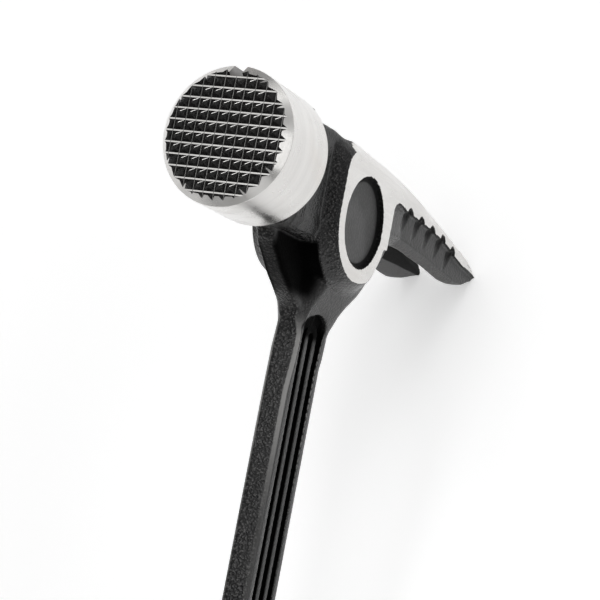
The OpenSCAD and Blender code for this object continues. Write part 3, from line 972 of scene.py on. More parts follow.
@dataclass(frozen=True)
class StudioFloor(Finish):
    """The white, slightly glossy surface that the hammer lies on, lit from below as well."""

    base: Colour = (0.93, 0.93, 0.93)
    glow: float = 0.6
    glow_near: Colour = (0.8, 0.8, 0.8)
    glow_far: Colour = (1.0, 1.0, 1.0)
    middle: Triple = (0.12, 0.0, 0.0)
    near_to_far: Stretch = (0.08, 0.4)
    rougher: float = 0.28
    smear_scale: float = 5.0

    def lay(self, graph: Graph, shader: bpy.types.Node, where: bpy.types.NodeSocket) -> None:
        """Build the floor's even white, with faintly uneven gloss and less light near the hammer.

        Args:
            graph: The material's graph.
            shader: Its shader.
            where: The object coordinates.
        """
        graph.feed(shader, "Base Color", (*self.base, 1.0))
        graph.feed(shader, "Roughness", self.smeared(graph, self.smears(graph, where)))
        away = graph.add("VectorMath", {0: where, 1: self.middle}, operation="DISTANCE").outputs["Value"]
        graph.feed(shader, "Emission Color", graph.blend(graph.rise(away, self.near_to_far),
                                                         (*self.glow_near, 1.0), (*self.glow_far, 1.0)))
        graph.feed(shader, "Emission Strength", self.glow)


COATED = CoatedSteel("pebbled_black_coating", "coated_steel", hollows=True)
MILLED = CoatedSteel("milled_coating", "coated_steel", base=(0.006, 0.006, 0.006), dusty=(0.012, 0.011, 0.01),
                     roughness=0.2, rougher=0.3, pebble=0.5 * MM, depth=0.12 * MM, edge_glint_and_wear=0.0, gloss=0.3,
                     speckle_highlights=0.25)
RECESSED = CoatedSteel("recess_coating", "coated_steel", base=(0.007, 0.007, 0.008), roughness=0.36,
                       rougher=0.5, pebble=0.6 * MM, depth=0.16 * MM, edge_glint_and_wear=0.2, hollows=True)
TURNED = GroundSteel("turned_steel", "ground_steel")
# Painted highlight: bright steel on the roots of the grooves across the face and on one hip of each pyramid
MILLING_HIGHLIGHT = GroundSteel("painted_milling_highlight", "ground_steel", base=(0.86, 0.85, 0.83), shaded=(0.7, 0.69, 0.67),
                    warmth=0.1, roughness=0.12, rougher=0.2)
GROUND = GroundSteel("belt_ground_steel", "ground_steel", grain=Grain.ALONG_CLAW, warmth=0.1)
SLOTTED = GroundSteel("milled_groove_steel", "ground_steel", grain=Grain.ALONG_GROOVE, base=(0.3, 0.3, 0.3),
                      shaded=(0.2, 0.2, 0.2), roughness=0.34, rougher=0.46, lines=80.0)
# Painted highlight, dimmer: the roots of the grooves along the handle
CROSS_MILLING_HIGHLIGHT = GroundSteel("painted_cross_milling_highlight", "ground_steel", base=(0.24, 0.235, 0.23),
                      shaded=(0.16, 0.16, 0.155), warmth=0.0, roughness=0.36, rougher=0.5)
PLATED = GroundSteel("plated_magnet", "magnet", base=(0.72, 0.72, 0.74), shaded=(0.6, 0.6, 0.62), warmth=0.0,
                     roughness=0.1, rougher=0.2, lines=30.0, depth=0.003 * MM)
HARD_GRIP = MouldedPlastic("hard_grip", "grip_core", base=(0.024, 0.024, 0.026), scuffed=(0.06, 0.06, 0.062),
                           roughness=0.36, rougher=0.5)
SOFT_GRIP = MouldedPlastic("soft_grip", "grip_soft", base=(0.014, 0.014, 0.015), scuffed=(0.032, 0.031, 0.03),
                           roughness=0.62, rougher=0.8, pebble=0.5 * MM, depth=0.07 * MM, sheen=0.15)
INLAID = MouldedPlastic("moulded_inlay", "grip_inlay", base=(0.085, 0.085, 0.092), scuffed=(0.13, 0.13, 0.14),
                        roughness=0.4, rougher=0.55)
WHITE_FLOOR = StudioFloor("studio_floor", "")


# Sub-assemblies


@dataclass
class MilledPoll:
    """The turned poll with its milled face, its ground bevel and the nail starter on top."""

    radius: float = 18.0 * MM
    face_z: float = 64.5 * MM
    back_z: float = 40.3 * MM
    bevel: float = 2.6 * MM
    rim_break: float = 0.6 * MM
    rim_round: float = 0.14 * MM
    sides: int = 160
    pitch: float = 2.95 * MM
    depth: float = 1.3 * MM
    crest: float = 0.4 * MM
    root: float = 0.38 * MM
    cross_root: float = 0.18 * MM
    hip_w: float = 0.34 * MM
    hip_share: float = 0.86
    hip_sink: float = 0.1 * MM
    hip_rise: float = 0.07 * MM
    hip_top_shares: tuple[float, float] = (0.94, 0.4)
    hip_end_share: float = 0.45
    hip_margin_share: float = 0.3
    crest_round: float = 0.2 * MM
    starter_w: float = 3.6 * MM
    starter_depth: float = 3.0 * MM
    magnet_d: float = 5.2 * MM
    magnet_l: float = 6.1 * MM
    drill_sides: int = 48
    margin: float = 1.0 * MM
    slack: float = 0.02 * MM
    sharp: float = 30.0

    def build(self) -> bpy.types.Object:
        """Turn, mill and dress the poll.

        Returns:
            The poll, in its place.
        """
        poll = self.turned_body()
        paint(poll, TURNED.material())
        for turned in (False, True):
            cut_away(poll, self.groove_cutter(turned))
        for cutter in self.starter_cutters():
            cut_away(poll, cutter)
        paint(poll, MILLED.material(), lambda c, n: n.z > SQUARE_ON and c.z > self.face_z - self.slack)
        self.wear_crests(poll)
        smooth(poll, self.sharp)
        apply_modifier(poll, "WEIGHTED_NORMAL", keep_sharp=True)
        lay_down(poll)
        return poll

    def turned_body(self) -> bpy.types.Object:
        """Turn the round body, with the bevel round its face and the break on its back rim.

        Returns:
            The body, on the hammer's own axes.
        """
        deselect()
        low, high = self.back_z + self.rim_break, self.face_z - self.bevel
        bpy.ops.mesh.primitive_cylinder_add(vertices=self.sides, radius=self.radius, depth=high - low,
                                            location=(0.0, 0.0, (low + high) / 2))
        body = bpy.context.object
        body.name = body.data.name = "milled_poll"
        bpy.ops.object.transform_apply(location=True, rotation=True, scale=True)
        for up, reach in ((1.0, self.bevel), (-1.0, self.rim_break)):
            share = (self.radius - reach) / self.radius
            with editing(body, Pick.FACES, lambda c, n, up=up: n.z * up > SQUARE_ON):
                bpy.ops.mesh.extrude_region_move(TRANSFORM_OT_translate={"value": (0.0, 0.0, up * reach)})
                bpy.ops.transform.resize(value=(share, share, 1.0), center_override=(0.0, 0.0, 0.0))
        near = self.slack / 2
        with editing(body, Pick.EDGES, lambda a, b: any(
                abs(a.z - z) < near and abs(b.z - z) < near for z in (low, high))):
            bpy.ops.mesh.bevel(offset=self.rim_round, segments=ROUND_FLATS, affect="EDGES")
        return body

    def groove_cutter(self, turned: bool) -> bpy.types.Object:
        """Make the row of sloping-walled grooves that run one way across the face.

        Args:
            turned: Whether they run along the handle instead of across it.

        Returns:
            The cutter, coated as the grooves are.
        """
        count = 2 * math.ceil((self.radius - self.bevel) / self.pitch) + 1
        half = (self.pitch - self.crest) / 2
        root = self.cross_root if turned else self.root
        first = -(count - 1) / 2 * self.pitch
        cutter = block((first - half, -self.radius - self.margin, self.face_z),
                       (first + half, self.radius + self.margin, self.face_z + self.margin), "grooves")
        with editing(cutter, Pick.FACES, lambda c, n: n.z < -SQUARE_ON):
            bpy.ops.mesh.extrude_region_move(TRANSFORM_OT_translate={"value": (0.0, 0.0, -self.depth)})
            bpy.ops.transform.resize(value=(root / 2 / half, 1.0, 1.0),
                                     center_override=(first, 0.0, 0.0))
        apply_modifier(cutter, "ARRAY", count=count, use_relative_offset=False,
                       use_constant_offset=True, constant_offset_displace=(self.pitch, 0.0, 0.0))
        if turned:
            with editing(cutter, Pick.FACES):
                bpy.ops.transform.rotate(value=math.pi / 2, orient_axis="Z", center_override=(0.0, 0.0, 0.0))
        paint(cutter, MILLED.material())
        # Painted highlight on the grooves' roots: bright on those across the face, dimmer on those along the
        # handle
        paint(cutter, (CROSS_MILLING_HIGHLIGHT if turned else MILLING_HIGHLIGHT).material(), lambda c, n: n.z < -SQUARE_ON)
        return cutter

    def starter_cutters(self) -> list[bpy.types.Object]:
        """Make the nail starter's slot, its round end and the magnet's hole as cutters.

        Returns:
            The cutters, in the steel that their cuts lay open.
        """
        floor = self.radius - self.starter_depth
        stop = self.back_z + self.starter_w
        slot = block((floor, -self.starter_w / 2, stop),
                     (self.radius + self.margin, self.starter_w / 2, self.face_z + self.margin), "slot")
        drills = []
        for across, low, z in ((self.starter_w, floor, stop),
                               (self.magnet_d, floor - self.magnet_l, (self.back_z + self.face_z) / 2)):
            deselect()
            length = self.radius + self.margin - low
            bpy.ops.mesh.primitive_cylinder_add(vertices=self.drill_sides, radius=across / 2, depth=length,
                                                location=(low + length / 2, 0.0, z),
                                                rotation=(0.0, math.pi / 2, 0.0))
            bpy.ops.object.transform_apply(location=True, rotation=True, scale=True)
            drills.append(bpy.context.object)
        cutters = [slot, *drills]
        for cutter in cutters:
            paint(cutter, SLOTTED.material())
        return cutters

    def wear_crests(self, poll: bpy.types.Object) -> None:
        """Wear the pyramids' crests and hips round, so that they catch light.

        Args:
            poll: The milled poll, on the hammer's own axes.
        """
        top = self.face_z - self.slack
        milled = self.face_z - self.depth - self.slack
        with editing(poll, Pick.EDGES, lambda a, b: max(a.z, b.z) > top and min(a.z, b.z) > milled):
            bpy.ops.mesh.bevel(offset=self.crest_round, segments=ROUND_FLATS, affect="EDGES",
                               clamp_overlap=True)

    def painted_hip_highlights(self) -> bpy.types.Object:
        """Make the bright ridges down one hip of each pyramid, a painted highlight on the hips that catch the
        light.

        Returns:
            The ridges, in their place on the face.
        """
        run = (self.pitch - self.crest - self.root) / 2
        length = math.hypot(run, run, self.depth) * self.hip_share
        ridge = block((0.0, -self.hip_w / 2, -self.hip_sink), (length, self.hip_w / 2, self.hip_rise),
                      "painted_hip_highlights")
        with editing(ridge, Pick.FACES, lambda c, n: n.z > SQUARE_ON):
            bpy.ops.transform.resize(value=(*self.hip_top_shares, 1.0),
                                     center_override=(length / 2, 0.0, 0.0))
        with editing(ridge, Pick.FACES, lambda c, n: n.x > SQUARE_ON):
            bpy.ops.transform.resize(value=(1.0, self.hip_end_share, 1.0), center_override=(length, 0.0, 0.0))
        slope = math.atan2(self.depth, run * math.sqrt(2.0))
        turn = Matrix.Rotation(-math.pi / 4, 4, "Z") @ Matrix.Rotation(slope, 4, "Y")
        count = 2 * math.ceil((self.radius - self.bevel) / self.pitch)
        corner = (0.5 - count / 2) * self.pitch
        place = (corner + self.crest / 2, corner - self.crest / 2, self.face_z)
        ridge.matrix_world = Matrix.Translation(place) @ turn
        take(ridge)
        bpy.ops.object.transform_apply(location=True, rotation=True, scale=True)
        for along in ((self.pitch, 0.0, 0.0), (0.0, self.pitch, 0.0)):
            apply_modifier(ridge, "ARRAY", count=count, use_relative_offset=False,
                           use_constant_offset=True, constant_offset_displace=along)
        reach = self.radius - self.bevel - self.hip_margin_share * self.pitch
        with editing(ridge, Pick.FACES, lambda c, n: self.pyramid_off(c) > reach or self.in_starter(c)):
            bpy.ops.mesh.delete(type="FACE")
        paint(ridge, MILLING_HIGHLIGHT.material())
        lay_down(ridge)
        return ridge

    def pyramid_off(self, point: Vector) -> float:
        """Return how far the middle of the pyramid round a point lies off the poll's axis."""
        middles = ((math.floor(value / self.pitch) + 0.5) * self.pitch for value in (point.x, point.y))
        return math.hypot(*middles)

    def in_starter(self, point: Vector) -> bool:
        """Tell whether a point lies in the nail starter's slot or in the pyramids beside it."""
        return (point.x > self.radius - self.starter_depth - self.pitch
                and abs(point.y) < self.starter_w / 2 + self.pitch)


@dataclass
class ClawForm:
    """How the claw's hollows and tips are drawn, and which of its faces are ground bright."""

    strip_gain: float = 1.1 * MM
    hollow_top: Stretch = (0.3 * MM, 2.3 * MM)
    hollow_foot: Stretch = (16.0 * MM, 6.0 * MM)
    hollow_root: Stretch = (-22.0 * MM, -28.0 * MM)
    hollow_tip: Stretch = (-88.0 * MM, -78.0 * MM)
    tip_z: float = -89.9 * MM
    tip_from: float = -76.0 * MM
    tip_drop: float = 0.7 * MM
    tip_side_z: float = -84.0 * MM
    tip_side_below: float = 2.0 * MM
    tip_side_inset: float = 0.06 * MM
    flank_y: float = 12.6 * MM
    flank_facing: float = 0.93
    ground_depth: float = 3.4 * MM
    ground_taper: float = 2.2 * MM
    taper: Stretch = (-70.0 * MM, -87.0 * MM)
    end_facing: float = -0.7
    back_z: float = -36.0 * MM
    back_facing: float = 0.05
    bevel_z: float = 14.0 * MM
    bevel_y: float = 11.2 * MM
    bevel_facing: float = -0.2
    lowest: float = 0.0
    back_line: dict[int, float] = field(default_factory=dict)

    def measure(self, steel: bpy.types.Object) -> None:
        """Note how low the tips reach and where the claw's back lies in each millimetre of its reach.

        Args:
            steel: The forging.
        """
        self.back_line.clear()
        for vertex in steel.data.vertices:
            own = AXES.own(vertex.co)
            step = round(own.z / MM)
            self.back_line[step] = max(self.back_line.get(step, -1.0), own.x)
            self.lowest = min(self.lowest, own.z)

    def drop_hollow(self, own: Vector) -> None:
        """Lower the hollow and its flutes a little, which makes the bright strip wider.

        Args:
            own: A point on the hammer's own axes, changed in place.
        """
        below = self.back_line.get(round(own.z / MM), own.x) - own.x
        share = min(ramp(below, *self.hollow_top), ramp(below, *self.hollow_foot))
        share *= min(ramp(own.z, *self.hollow_root), ramp(own.z, *self.hollow_tip))
        own.x -= self.strip_gain * share

    def draw_tip(self, own: Vector) -> None:
        """Draw the tips out again to their full reach, which the rounding over took off.

        Args:
            own: A point on the hammer's own axes, changed in place.
        """
        if own.z >= self.tip_from:
            return
        share = (self.tip_from - own.z) / (self.tip_from - self.lowest)
        own.z += (self.tip_z - self.lowest) * share ** 2
        own.x -= self.tip_drop * share ** 2
        back = self.back_line.get(round(own.z / MM), 0.0)
        if own.z < self.tip_side_z and own.x < back - self.tip_side_below:
            own.y = math.copysign(min(abs(own.y), GROUND_Y - self.tip_side_inset), own.y)

    def is_ground(self, centre: Vector, normal: Vector) -> bool:
        """Tell whether a face lies on the claw's back, which is ground bright with the strips.

        Args:
            centre: The face's centre.
            normal: Its normal.

        Returns:
            Whether it does.
        """
        own, facing = AXES.own(centre), AXES.facing(normal)
        if abs(own.y) > self.flank_y and abs(facing.y) > self.flank_facing:
            return True
        depth = self.ground_depth - self.ground_taper * eased(own.z, *self.taper)
        if own.x < self.back_line.get(round(own.z / MM), 1.0) - depth or facing.z < self.end_facing:
            return False
        bevelled = abs(own.y) > self.bevel_y and own.z < self.bevel_z and facing.x > self.bevel_facing
        return bevelled or (own.z < self.back_z and facing.x > self.back_facing)


@dataclass(frozen=True)
class FlareForm:
    """How the flare below the cheeks is drawn: its front, its back, its rib, its foot and its shoulders."""

    reach: Stretch = (-58.0 * MM, -10.0 * MM)
    swell: float = 5.78 * MM
    solid_rise: Stretch = (-41.0 * MM, -20.0 * MM)
    front_rise: Stretch = (GROOVE_HEAD_X, -20.0 * MM)
    front_z: Stretch = (-4.0 * MM, 1.0 * MM)
    front_y: Stretch = (0.0, 2.5 * MM)
    back_gain: float = 2.8 * MM
    back_foot: Stretch = (-47.0 * MM, -34.0 * MM)
    back_head: Stretch = (-17.0 * MM, -25.0 * MM)
    back_z: Stretch = (0.0, -7.0 * MM)
    rib_fill: float = 1.8 * MM
    rib_foot: Stretch = (-41.0 * MM, -34.0 * MM)
    rib_head: Stretch = (-22.0 * MM, -27.0 * MM)
    rib_z: Stretch = (4.0 * MM, 9.0 * MM)
    foot_swell: float = 0.1
    foot_drop: float = 0.9 * MM
    foot_low: Stretch = (-57.0 * MM, -44.0 * MM)
    foot_high: Stretch = (-27.0 * MM, -34.0 * MM)
    foot_inner: Stretch = (5.6 * MM, 8.2 * MM)
    foot_outer: Stretch = (15.0 * MM, 11.0 * MM)
    shoulder_trim: float = 1.1 * MM
    shoulder_r: Stretch = (16.4 * MM, 17.8 * MM)
    shoulder_x: Stretch = (-24.5 * MM, -22.0 * MM)
    shoulder_inner: Stretch = (2.0 * MM, 6.0 * MM)
    shoulder_outer: Stretch = (24.0 * MM, 18.0 * MM)
    shoulder_y: Stretch = (8.0 * MM, 11.0 * MM)

    def reshape(self, own: Vector) -> None:
        """Draw the flare closer to the photographed one.

        Args:
            own: A point on the hammer's own axes, changed in place.
        """
        if self.reach[0] < own.x < self.reach[1]:
            self.slim_front(own)
            self.fill_back(own)
            self.draw_foot(own)
            self.trim_shoulder(own)

    def slim_front(self, own: Vector) -> None:
        """Start the front's swell higher up than the solid's.

        Args:
            own: A point on the hammer's own axes, changed in place.
        """
        was = SHANK_SIDE + self.swell * eased(own.x, *self.solid_rise)
        now = SHANK_SIDE + self.swell * eased(own.x, *self.front_rise)
        front = ramp(own.z, *self.front_z) * ramp(abs(own.y), *self.front_y)
        own.y *= 1.0 - front * (1.0 - now / was)

    def fill_back(self, own: Vector) -> None:
        """Start the back's swell lower down, and fill the rib's foot.

        Args:
            own: A point on the hammer's own axes, changed in place.
        """
        back = ramp(own.x, *self.back_foot) * ramp(own.x, *self.back_head)
        own.z -= self.back_gain * back * ramp(own.z, *self.back_z)
        rib = eased(own.x, *self.rib_foot) * eased(own.x, *self.rib_head)
        own.z += self.rib_fill * rib * eased(own.z, *self.rib_z)

    def draw_foot(self, own: Vector) -> None:
        """Broaden the shank's front corners under the flare and set them back.

        Args:
            own: A point on the hammer's own axes, changed in place.
        """
        foot = eased(own.x, *self.foot_low) * eased(own.x, *self.foot_high)
        foot *= eased(own.z, *self.foot_inner) * eased(own.z, *self.foot_outer)
        own.y *= 1.0 + self.foot_swell * foot
        own.z -= self.foot_drop * foot

    def trim_shoulder(self, own: Vector) -> None:
        """Trim the shoulders outside the round cheeks.

        Args:
            own: A point on the hammer's own axes, changed in place.
        """
        shoulder = eased(math.hypot(own.x - RECESS_X, own.z), *self.shoulder_r)
        shoulder *= eased(own.x, *self.shoulder_x) * eased(own.z, *self.shoulder_inner)
        shoulder *= eased(abs(own.y), *self.shoulder_y) * eased(own.z, *self.shoulder_outer)
        own.y -= math.copysign(self.shoulder_trim * shoulder, own.y)


@dataclass(frozen=True)
class GrooveForm:
    """How the round-ended groove in each side of the shank is drawn, with the loop round its slot."""

    half: float = 5.6 * MM
    floor: float = 2.3 * MM
    depth: float = 1.4 * MM
    loop_rise: float = 1.9 * MM
    loop_z: Stretch = (5.0 * MM, 3.9 * MM)
    loop_foot: Stretch = (-47.0 * MM, -41.0 * MM)
    loop_head: Stretch = (-33.6 * MM, -37.0 * MM)
    loop_y: float = 1.0 * MM
    beside: Stretch = (0.3 * MM, 1.6 * MM)
    measured: Stretch = (-52.0 * MM, -30.0 * MM)
    evened: Stretch = (-50.0 * MM, -32.4 * MM)
    floor_slack: float = 0.4 * MM

    def raise_loop(self, own: Vector) -> None:
        """Raise the loop's round end towards the groove's.

        Args:
            own: A point on the hammer's own axes, changed in place.
        """
        if abs(own.y) > self.loop_y:
            inside = eased(abs(own.z), *self.loop_z)
            own.x += self.loop_rise * inside * eased(own.x, *self.loop_foot) * eased(own.x, *self.loop_head)

    def flanks(self, steel: bpy.types.Object) -> dict[tuple[int, bool], float]:
        """Measure how far out the steel beside the groove lies, in each millimetre up the shank.

        Args:
            steel: The forging.

        Returns:
            The distances, by millimetre and by whether they are those in front of the groove.
        """
        found: dict[tuple[int, bool], float] = {}
        for vertex in steel.data.vertices:
            own = AXES.own(vertex.co)
            if self.beside[0] < abs(own.z) - self.half < self.beside[1] and own.x < self.measured[1]:
                key = (round(own.x / MM), own.z > 0.0)
                found[key] = max(found.get(key, 0.0), abs(own.y))
        low, high = (round(end / MM) for end in self.measured)
        for at in range(low, high + 1):
            for front in (True, False):
                found.setdefault((at, front), found.get((at - 1, front), SHANK_SIDE))
        return found

    def even_out(self, own: Vector, flanks: dict[tuple[int, bool], float]) -> None:
        """Lift the groove's floor and loop with the flare, so that the groove stays as deep to its end.

        Args:
            own: A point on the hammer's own axes, changed in place.
            flanks: How far out the steel beside the groove lies.
        """
        if not self.evened[0] < own.x < self.evened[1] or abs(own.z) > self.half:
            return
        at = round(own.x / MM)
        off = own.x / MM - at
        beside = at + (1 if off > 0 else -1)
        front, rear = (flanks[(at, f)] + abs(off) * (flanks[(beside, f)] - flanks[(at, f)])
                       for f in (True, False))
        flank = rear + (front - rear) * (own.z + self.half) / (2.0 * self.half)
        deep = flank - self.floor
        if deep > self.depth and self.floor - self.floor_slack < abs(own.y) < flank:
            own.y = math.copysign(flank - (flank - abs(own.y)) * self.depth / deep, own.y)


@dataclass
class Forging:
    """The black forging below the poll: neck, cheeks, claw, rib, flare and shank."""

    poll_cut_z: float = 43.5 * MM
    poll_seat_z: float = 40.42 * MM
    tang_cut_x: float = -221.0 * MM
    recess_r: float = 12.9 * MM
    recess_y: float = 11.5 * MM
    recess_slack: float = 0.2 * MM
    ground_slack: float = 0.03 * MM
    voxel: float = 0.36 * MM
    passes: int = 14
    triangles: int = 185000
    sharp: float = 38.0
    crisp: float = 0.1
    crisp_groove_x: float = -32.0 * MM
    crisp_groove: Stretch = (6.0 * MM, 8.0 * MM)
    crisp_claw: Stretch = (-20.9 * MM, -12.9 * MM)
    crisp_shank: Stretch = (-42.0 * MM, -36.0 * MM)
    shank_x: Stretch = (-36.0 * MM, -44.0 * MM)
    shank_gain: tuple[float, float] = (1.04, 1.11)
    margin: float = 2.0 * MM
    wheel_low: tuple[float, float] = (-30.0 * MM, -94.0 * MM)
    wheel_high: tuple[float, float] = (20.0 * MM, 22.0 * MM)
    claw: ClawForm = field(default_factory=ClawForm)
    flare: FlareForm = field(default_factory=FlareForm)
    groove: GrooveForm = field(default_factory=GrooveForm)

    def build(self) -> bpy.types.Object:
        """Copy the solid, round it over, draw it to form, grind it and dress it.

        Returns:
            The forging, in its place.
        """
        steel = copy_of("forged_body", "forged_steel")
        cut_flat(steel, AXES.point(0.0, 0.0, self.poll_cut_z), AXES.turn((0.0, 0.0, 1.0)))
        cut_flat(steel, AXES.point(self.tang_cut_x, 0.0, 0.0), AXES.turn((-1.0, 0.0, 0.0)))
        round_over(steel, self.voxel, self.passes, self.triangles, self.softness)
        self.draw_to_form(steel)
        paint(steel, COATED.material())
        paint(steel, RECESSED.material(), self.in_recess)
        paint(steel, GROUND.material(), self.claw.is_ground)
        self.grind_cheeks(steel)
        cut_flat(steel, AXES.point(0.0, 0.0, self.poll_seat_z), AXES.turn((0.0, 0.0, 1.0)))
        with editing(steel, Pick.FACES):
            bpy.ops.mesh.delete_loose()
        smooth(steel, self.sharp)
        return steel

    def softness(self, point: Vector) -> float:
        """Tell how far a point's surroundings are rounded over, from the crisp claw to the soft neck.

        Args:
            point: A point in the row's frame.

        Returns:
            The share of the smoothing that it gets.
        """
        own = AXES.own(point)
        beside = math.hypot(max(own.x - GROOVE_HEAD_X, 0.0), own.z)
        if own.x < self.crisp_groove_x and beside < self.crisp_groove[1]:
            return max(self.crisp, ramp(beside, *self.crisp_groove))
        if own.z < self.crisp_claw[1]:
            return self.crisp + (1.0 - self.crisp) * ramp(own.z, *self.crisp_claw)
        return max(self.crisp, ramp(own.x, *self.crisp_shank))

    def draw_to_form(self, steel: bpy.types.Object) -> None:
        """Draw the rounded copy closer to the photographed forging.

        Args:
            steel: The forging.
        """
        self.claw.measure(steel)
        warp(steel, self.claw.drop_hollow)
        warp(steel, self.flare.reshape)
        warp(steel, self.groove.raise_loop)
        flanks = self.groove.flanks(steel)
        warp(steel, lambda own: self.groove.even_out(own, flanks))
        warp(steel, self.fill_out)
        warp(steel, self.claw.draw_tip)
        self.claw.measure(steel)

    def fill_out(self, own: Vector) -> None:
        """Fill the shank out to the photographed breadth.

        Args:
            own: A point on the hammer's own axes, changed in place.
        """
        share = ramp(own.x, *self.shank_x)
        own.y *= 1.0 + (self.shank_gain[0] - 1.0) * share
        own.z *= 1.0 + (self.shank_gain[1] - 1.0) * share

    def grind_cheeks(self, steel: bpy.types.Object) -> None:
        """Grind both cheeks and the strips along the claw flat.

        Args:
            steel: The forging.
        """
        for side in (-1.0, 1.0):
            near, far = sorted((side * GROUND_Y, side * (GROUND_Y + self.margin)))
            wheel = block((self.wheel_low[0], near, self.wheel_low[1]),
                          (self.wheel_high[0], far, self.wheel_high[1]), "wheel")
            paint(wheel, GROUND.material())
            lay_down(wheel)
            cut_away(steel, wheel)

    def in_recess(self, centre: Vector, normal: Vector) -> bool:
        """Tell whether a face lies on the floor or wall of a cheek's round recess."""
        own = AXES.own(centre)
        return (math.hypot(own.x - RECESS_X, own.z) < self.recess_r
                and self.recess_y - self.recess_slack < abs(own.y) < GROUND_Y - self.ground_slack)


@dataclass
class Grip:
    """The moulded grip: a hard core with its collar, a soft sleeve, inlays and the butt cap."""

    voxel: float = 0.5 * MM
    passes: int = 3
    triangles: int = 150000
    sharp: float = 50.0

    def build(self) -> list[bpy.types.Object]:
        """Round over, dress and attach the moulded pieces.

        Returns:
            The pieces.
        """
        pieces = []
        for node, name, finish in (("grip_sleeve", "soft_sleeve", SOFT_GRIP),
                                   ("grip_core", "hard_core", HARD_GRIP),
                                   ("side_inlays", "inlay_pads", INLAID),
                                   ("butt_cap", "end_cap", HARD_GRIP)):
            piece = copy_of(node, name)
            round_over(piece, self.voxel, self.passes, self.triangles)
            smooth(piece, self.sharp)
            paint(piece, finish.material())
            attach(piece, BODY)
            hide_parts(node)
            pieces.append(piece)
        return pieces


@dataclass
class Hammer:
    """The whole hammer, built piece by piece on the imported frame."""

    poll: MilledPoll = field(default_factory=MilledPoll)
    forging: Forging = field(default_factory=Forging)
    grip: Grip = field(default_factory=Grip)

    def build(self) -> None:
        """Build and attach every piece, reporting each one."""
        poll = self.poll.build()
        hips = self.poll.painted_hip_highlights()
        steel = self.forging.build()
        for piece, slot in ((poll, TURNED.slot), (hips, MILLING_HIGHLIGHT.slot), (steel, COATED.slot)):
            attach(piece, BODY)
            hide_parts("forged_body")
            report(piece)
        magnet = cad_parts["starter_magnet"]
        magnet.data.materials.clear()
        magnet.data.materials.append(PLATED.material())
        report(magnet)
        for piece in self.grip.build():
            report(piece)


@dataclass
class SoftBox:
    """One soft studio light: a large plain panel aimed at a point."""

    name: str
    place: Triple
    aim: Triple
    width: float
    height: float
    power: float
    colour: Colour = (1.0, 1.0, 1.0)

    def build(self) -> None:
        """Hang the panel and aim it."""
        light = bpy.data.lights.new(self.name, "AREA")
        light.shape = "RECTANGLE"
        light.size, light.size_y = self.width, self.height
        light.energy = self.power
        light.color = self.colour
        obj = bpy.data.objects.new(self.name, light)
        bpy.context.scene.collection.objects.link(obj)
        obj.location = self.place
        obj.visible_camera = False
        obj.rotation_euler = (Vector(self.aim) - Vector(self.place)).to_track_quat("-Z", "Y").to_euler()


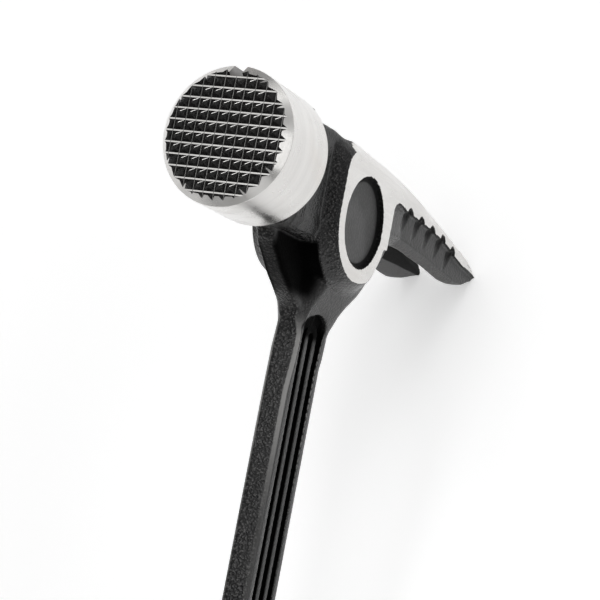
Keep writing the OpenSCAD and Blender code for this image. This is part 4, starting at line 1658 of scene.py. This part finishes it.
@dataclass
class Studio:
    """The floor, the soft lights and the camera, none of them part of the hammer."""

    floor_size: float = 6.0
    zenith: float = 0.05
    horizon: float = 0.32
    horizon_to_zenith: Stretch = (0.05, 0.75)
    camera_place: Triple = (0.00688, -0.23267, 0.55241)
    right: Triple = (0.255534, -0.894984, -0.365658)
    up: Triple = (0.926169, 0.118118, 0.358131)
    lens: float = 120.0
    sensor: float = 36.0
    clip: tuple[float, float] = (0.01, 20.0)
    boxes: tuple[SoftBox, ...] = (
        SoftBox("overhead_box", (0.14, -0.02, 1.05), (0.14, 0.0, 0.0), 0.8, 0.5, 4.6),
        SoftBox("head_box", (0.97, -0.31, 0.68), (0.2, 0.0, 0.1), 0.36, 0.36, 0.6),
        SoftBox("side_box", (0.9, -0.42, 0.49), (0.2, 0.0, 0.13), 0.92, 0.28, 0.48),
        SoftBox("cheek_box", (0.14, -0.82, 0.56), (0.14, 0.0, 0.1), 1.0, 0.18, 0.8),
        SoftBox("left_box", (-0.66, -0.48, 0.4), (0.17, 0.0, 0.15), 0.5, 0.34, 0.55),
        SoftBox("back_box", (0.1, 0.5, 1.1), (0.14, 0.0, 0.1), 0.6, 0.34, 0.5),
    )

    def build(self) -> None:
        """Set the stage, light it and set the camera at the photo's angle."""
        self.lay_floor()
        self.light()
        self.set_camera()

    def lay_floor(self) -> None:
        """Lay the white floor under the claw tips and the butt."""
        deselect()
        bpy.ops.mesh.primitive_plane_add(size=self.floor_size)
        floor = bpy.context.object
        floor.name = floor.data.name = "studio_floor"
        paint(floor, WHITE_FLOOR.material())

    def light(self) -> None:
        """Hang the soft boxes and set the even light of the white room."""
        for box in self.boxes:
            box.build()
        world = bpy.data.worlds.new("white_room")
        world.use_nodes = True
        graph = Graph(world.node_tree)
        ray = graph.add("SeparateXYZ", {"Vector": graph.add("TexCoord").outputs["Generated"]})
        level = graph.spread(ray.outputs["Z"], *self.horizon_to_zenith, self.horizon, self.zenith)
        even = graph.add("Background", {"Color": (1.0, 1.0, 1.0, 1.0), "Strength": level})
        output = graph.add("OutputWorld")
        graph.tree.links.new(even.outputs[0], output.inputs[0])
        bpy.context.scene.world = world
        bpy.context.scene.view_settings.view_transform = "Standard"

    def set_camera(self) -> None:
        """Set the camera where the photo was taken from."""
        data = bpy.data.cameras.new("photo_camera")
        data.lens, data.sensor_width = self.lens, self.sensor
        data.clip_start, data.clip_end = self.clip
        camera = bpy.data.objects.new("photo_camera", data)
        bpy.context.scene.collection.objects.link(camera)
        right, up = Vector(self.right).normalized(), Vector(self.up).normalized()
        turn = Matrix((right, up, right.cross(up))).transposed()
        camera.matrix_world = Matrix.Translation(self.camera_place) @ turn.to_4x4()
        bpy.context.scene.camera = camera


def report(piece: bpy.types.Object) -> None:
    """Report a finished piece and how many triangles it has."""
    count = sum(len(f.vertices) - 2 for f in piece.data.polygons)
    LOG.info("%s: %d triangles, %d finishes", piece.name, count, len(piece.data.materials))


def main() -> None:
    """Build the hammer and its studio."""
    logging.basicConfig(level=logging.INFO, format="%(name)s: %(message)s")
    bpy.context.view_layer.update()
    Hammer().build()
    Studio().build()
    deselect()


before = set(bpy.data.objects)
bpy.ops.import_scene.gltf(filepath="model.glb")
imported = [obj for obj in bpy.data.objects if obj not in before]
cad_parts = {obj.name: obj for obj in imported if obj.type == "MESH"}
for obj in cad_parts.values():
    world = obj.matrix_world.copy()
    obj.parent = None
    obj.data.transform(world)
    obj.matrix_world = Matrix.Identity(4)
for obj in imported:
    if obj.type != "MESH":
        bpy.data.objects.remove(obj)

if __name__ == "__main__":
    main()
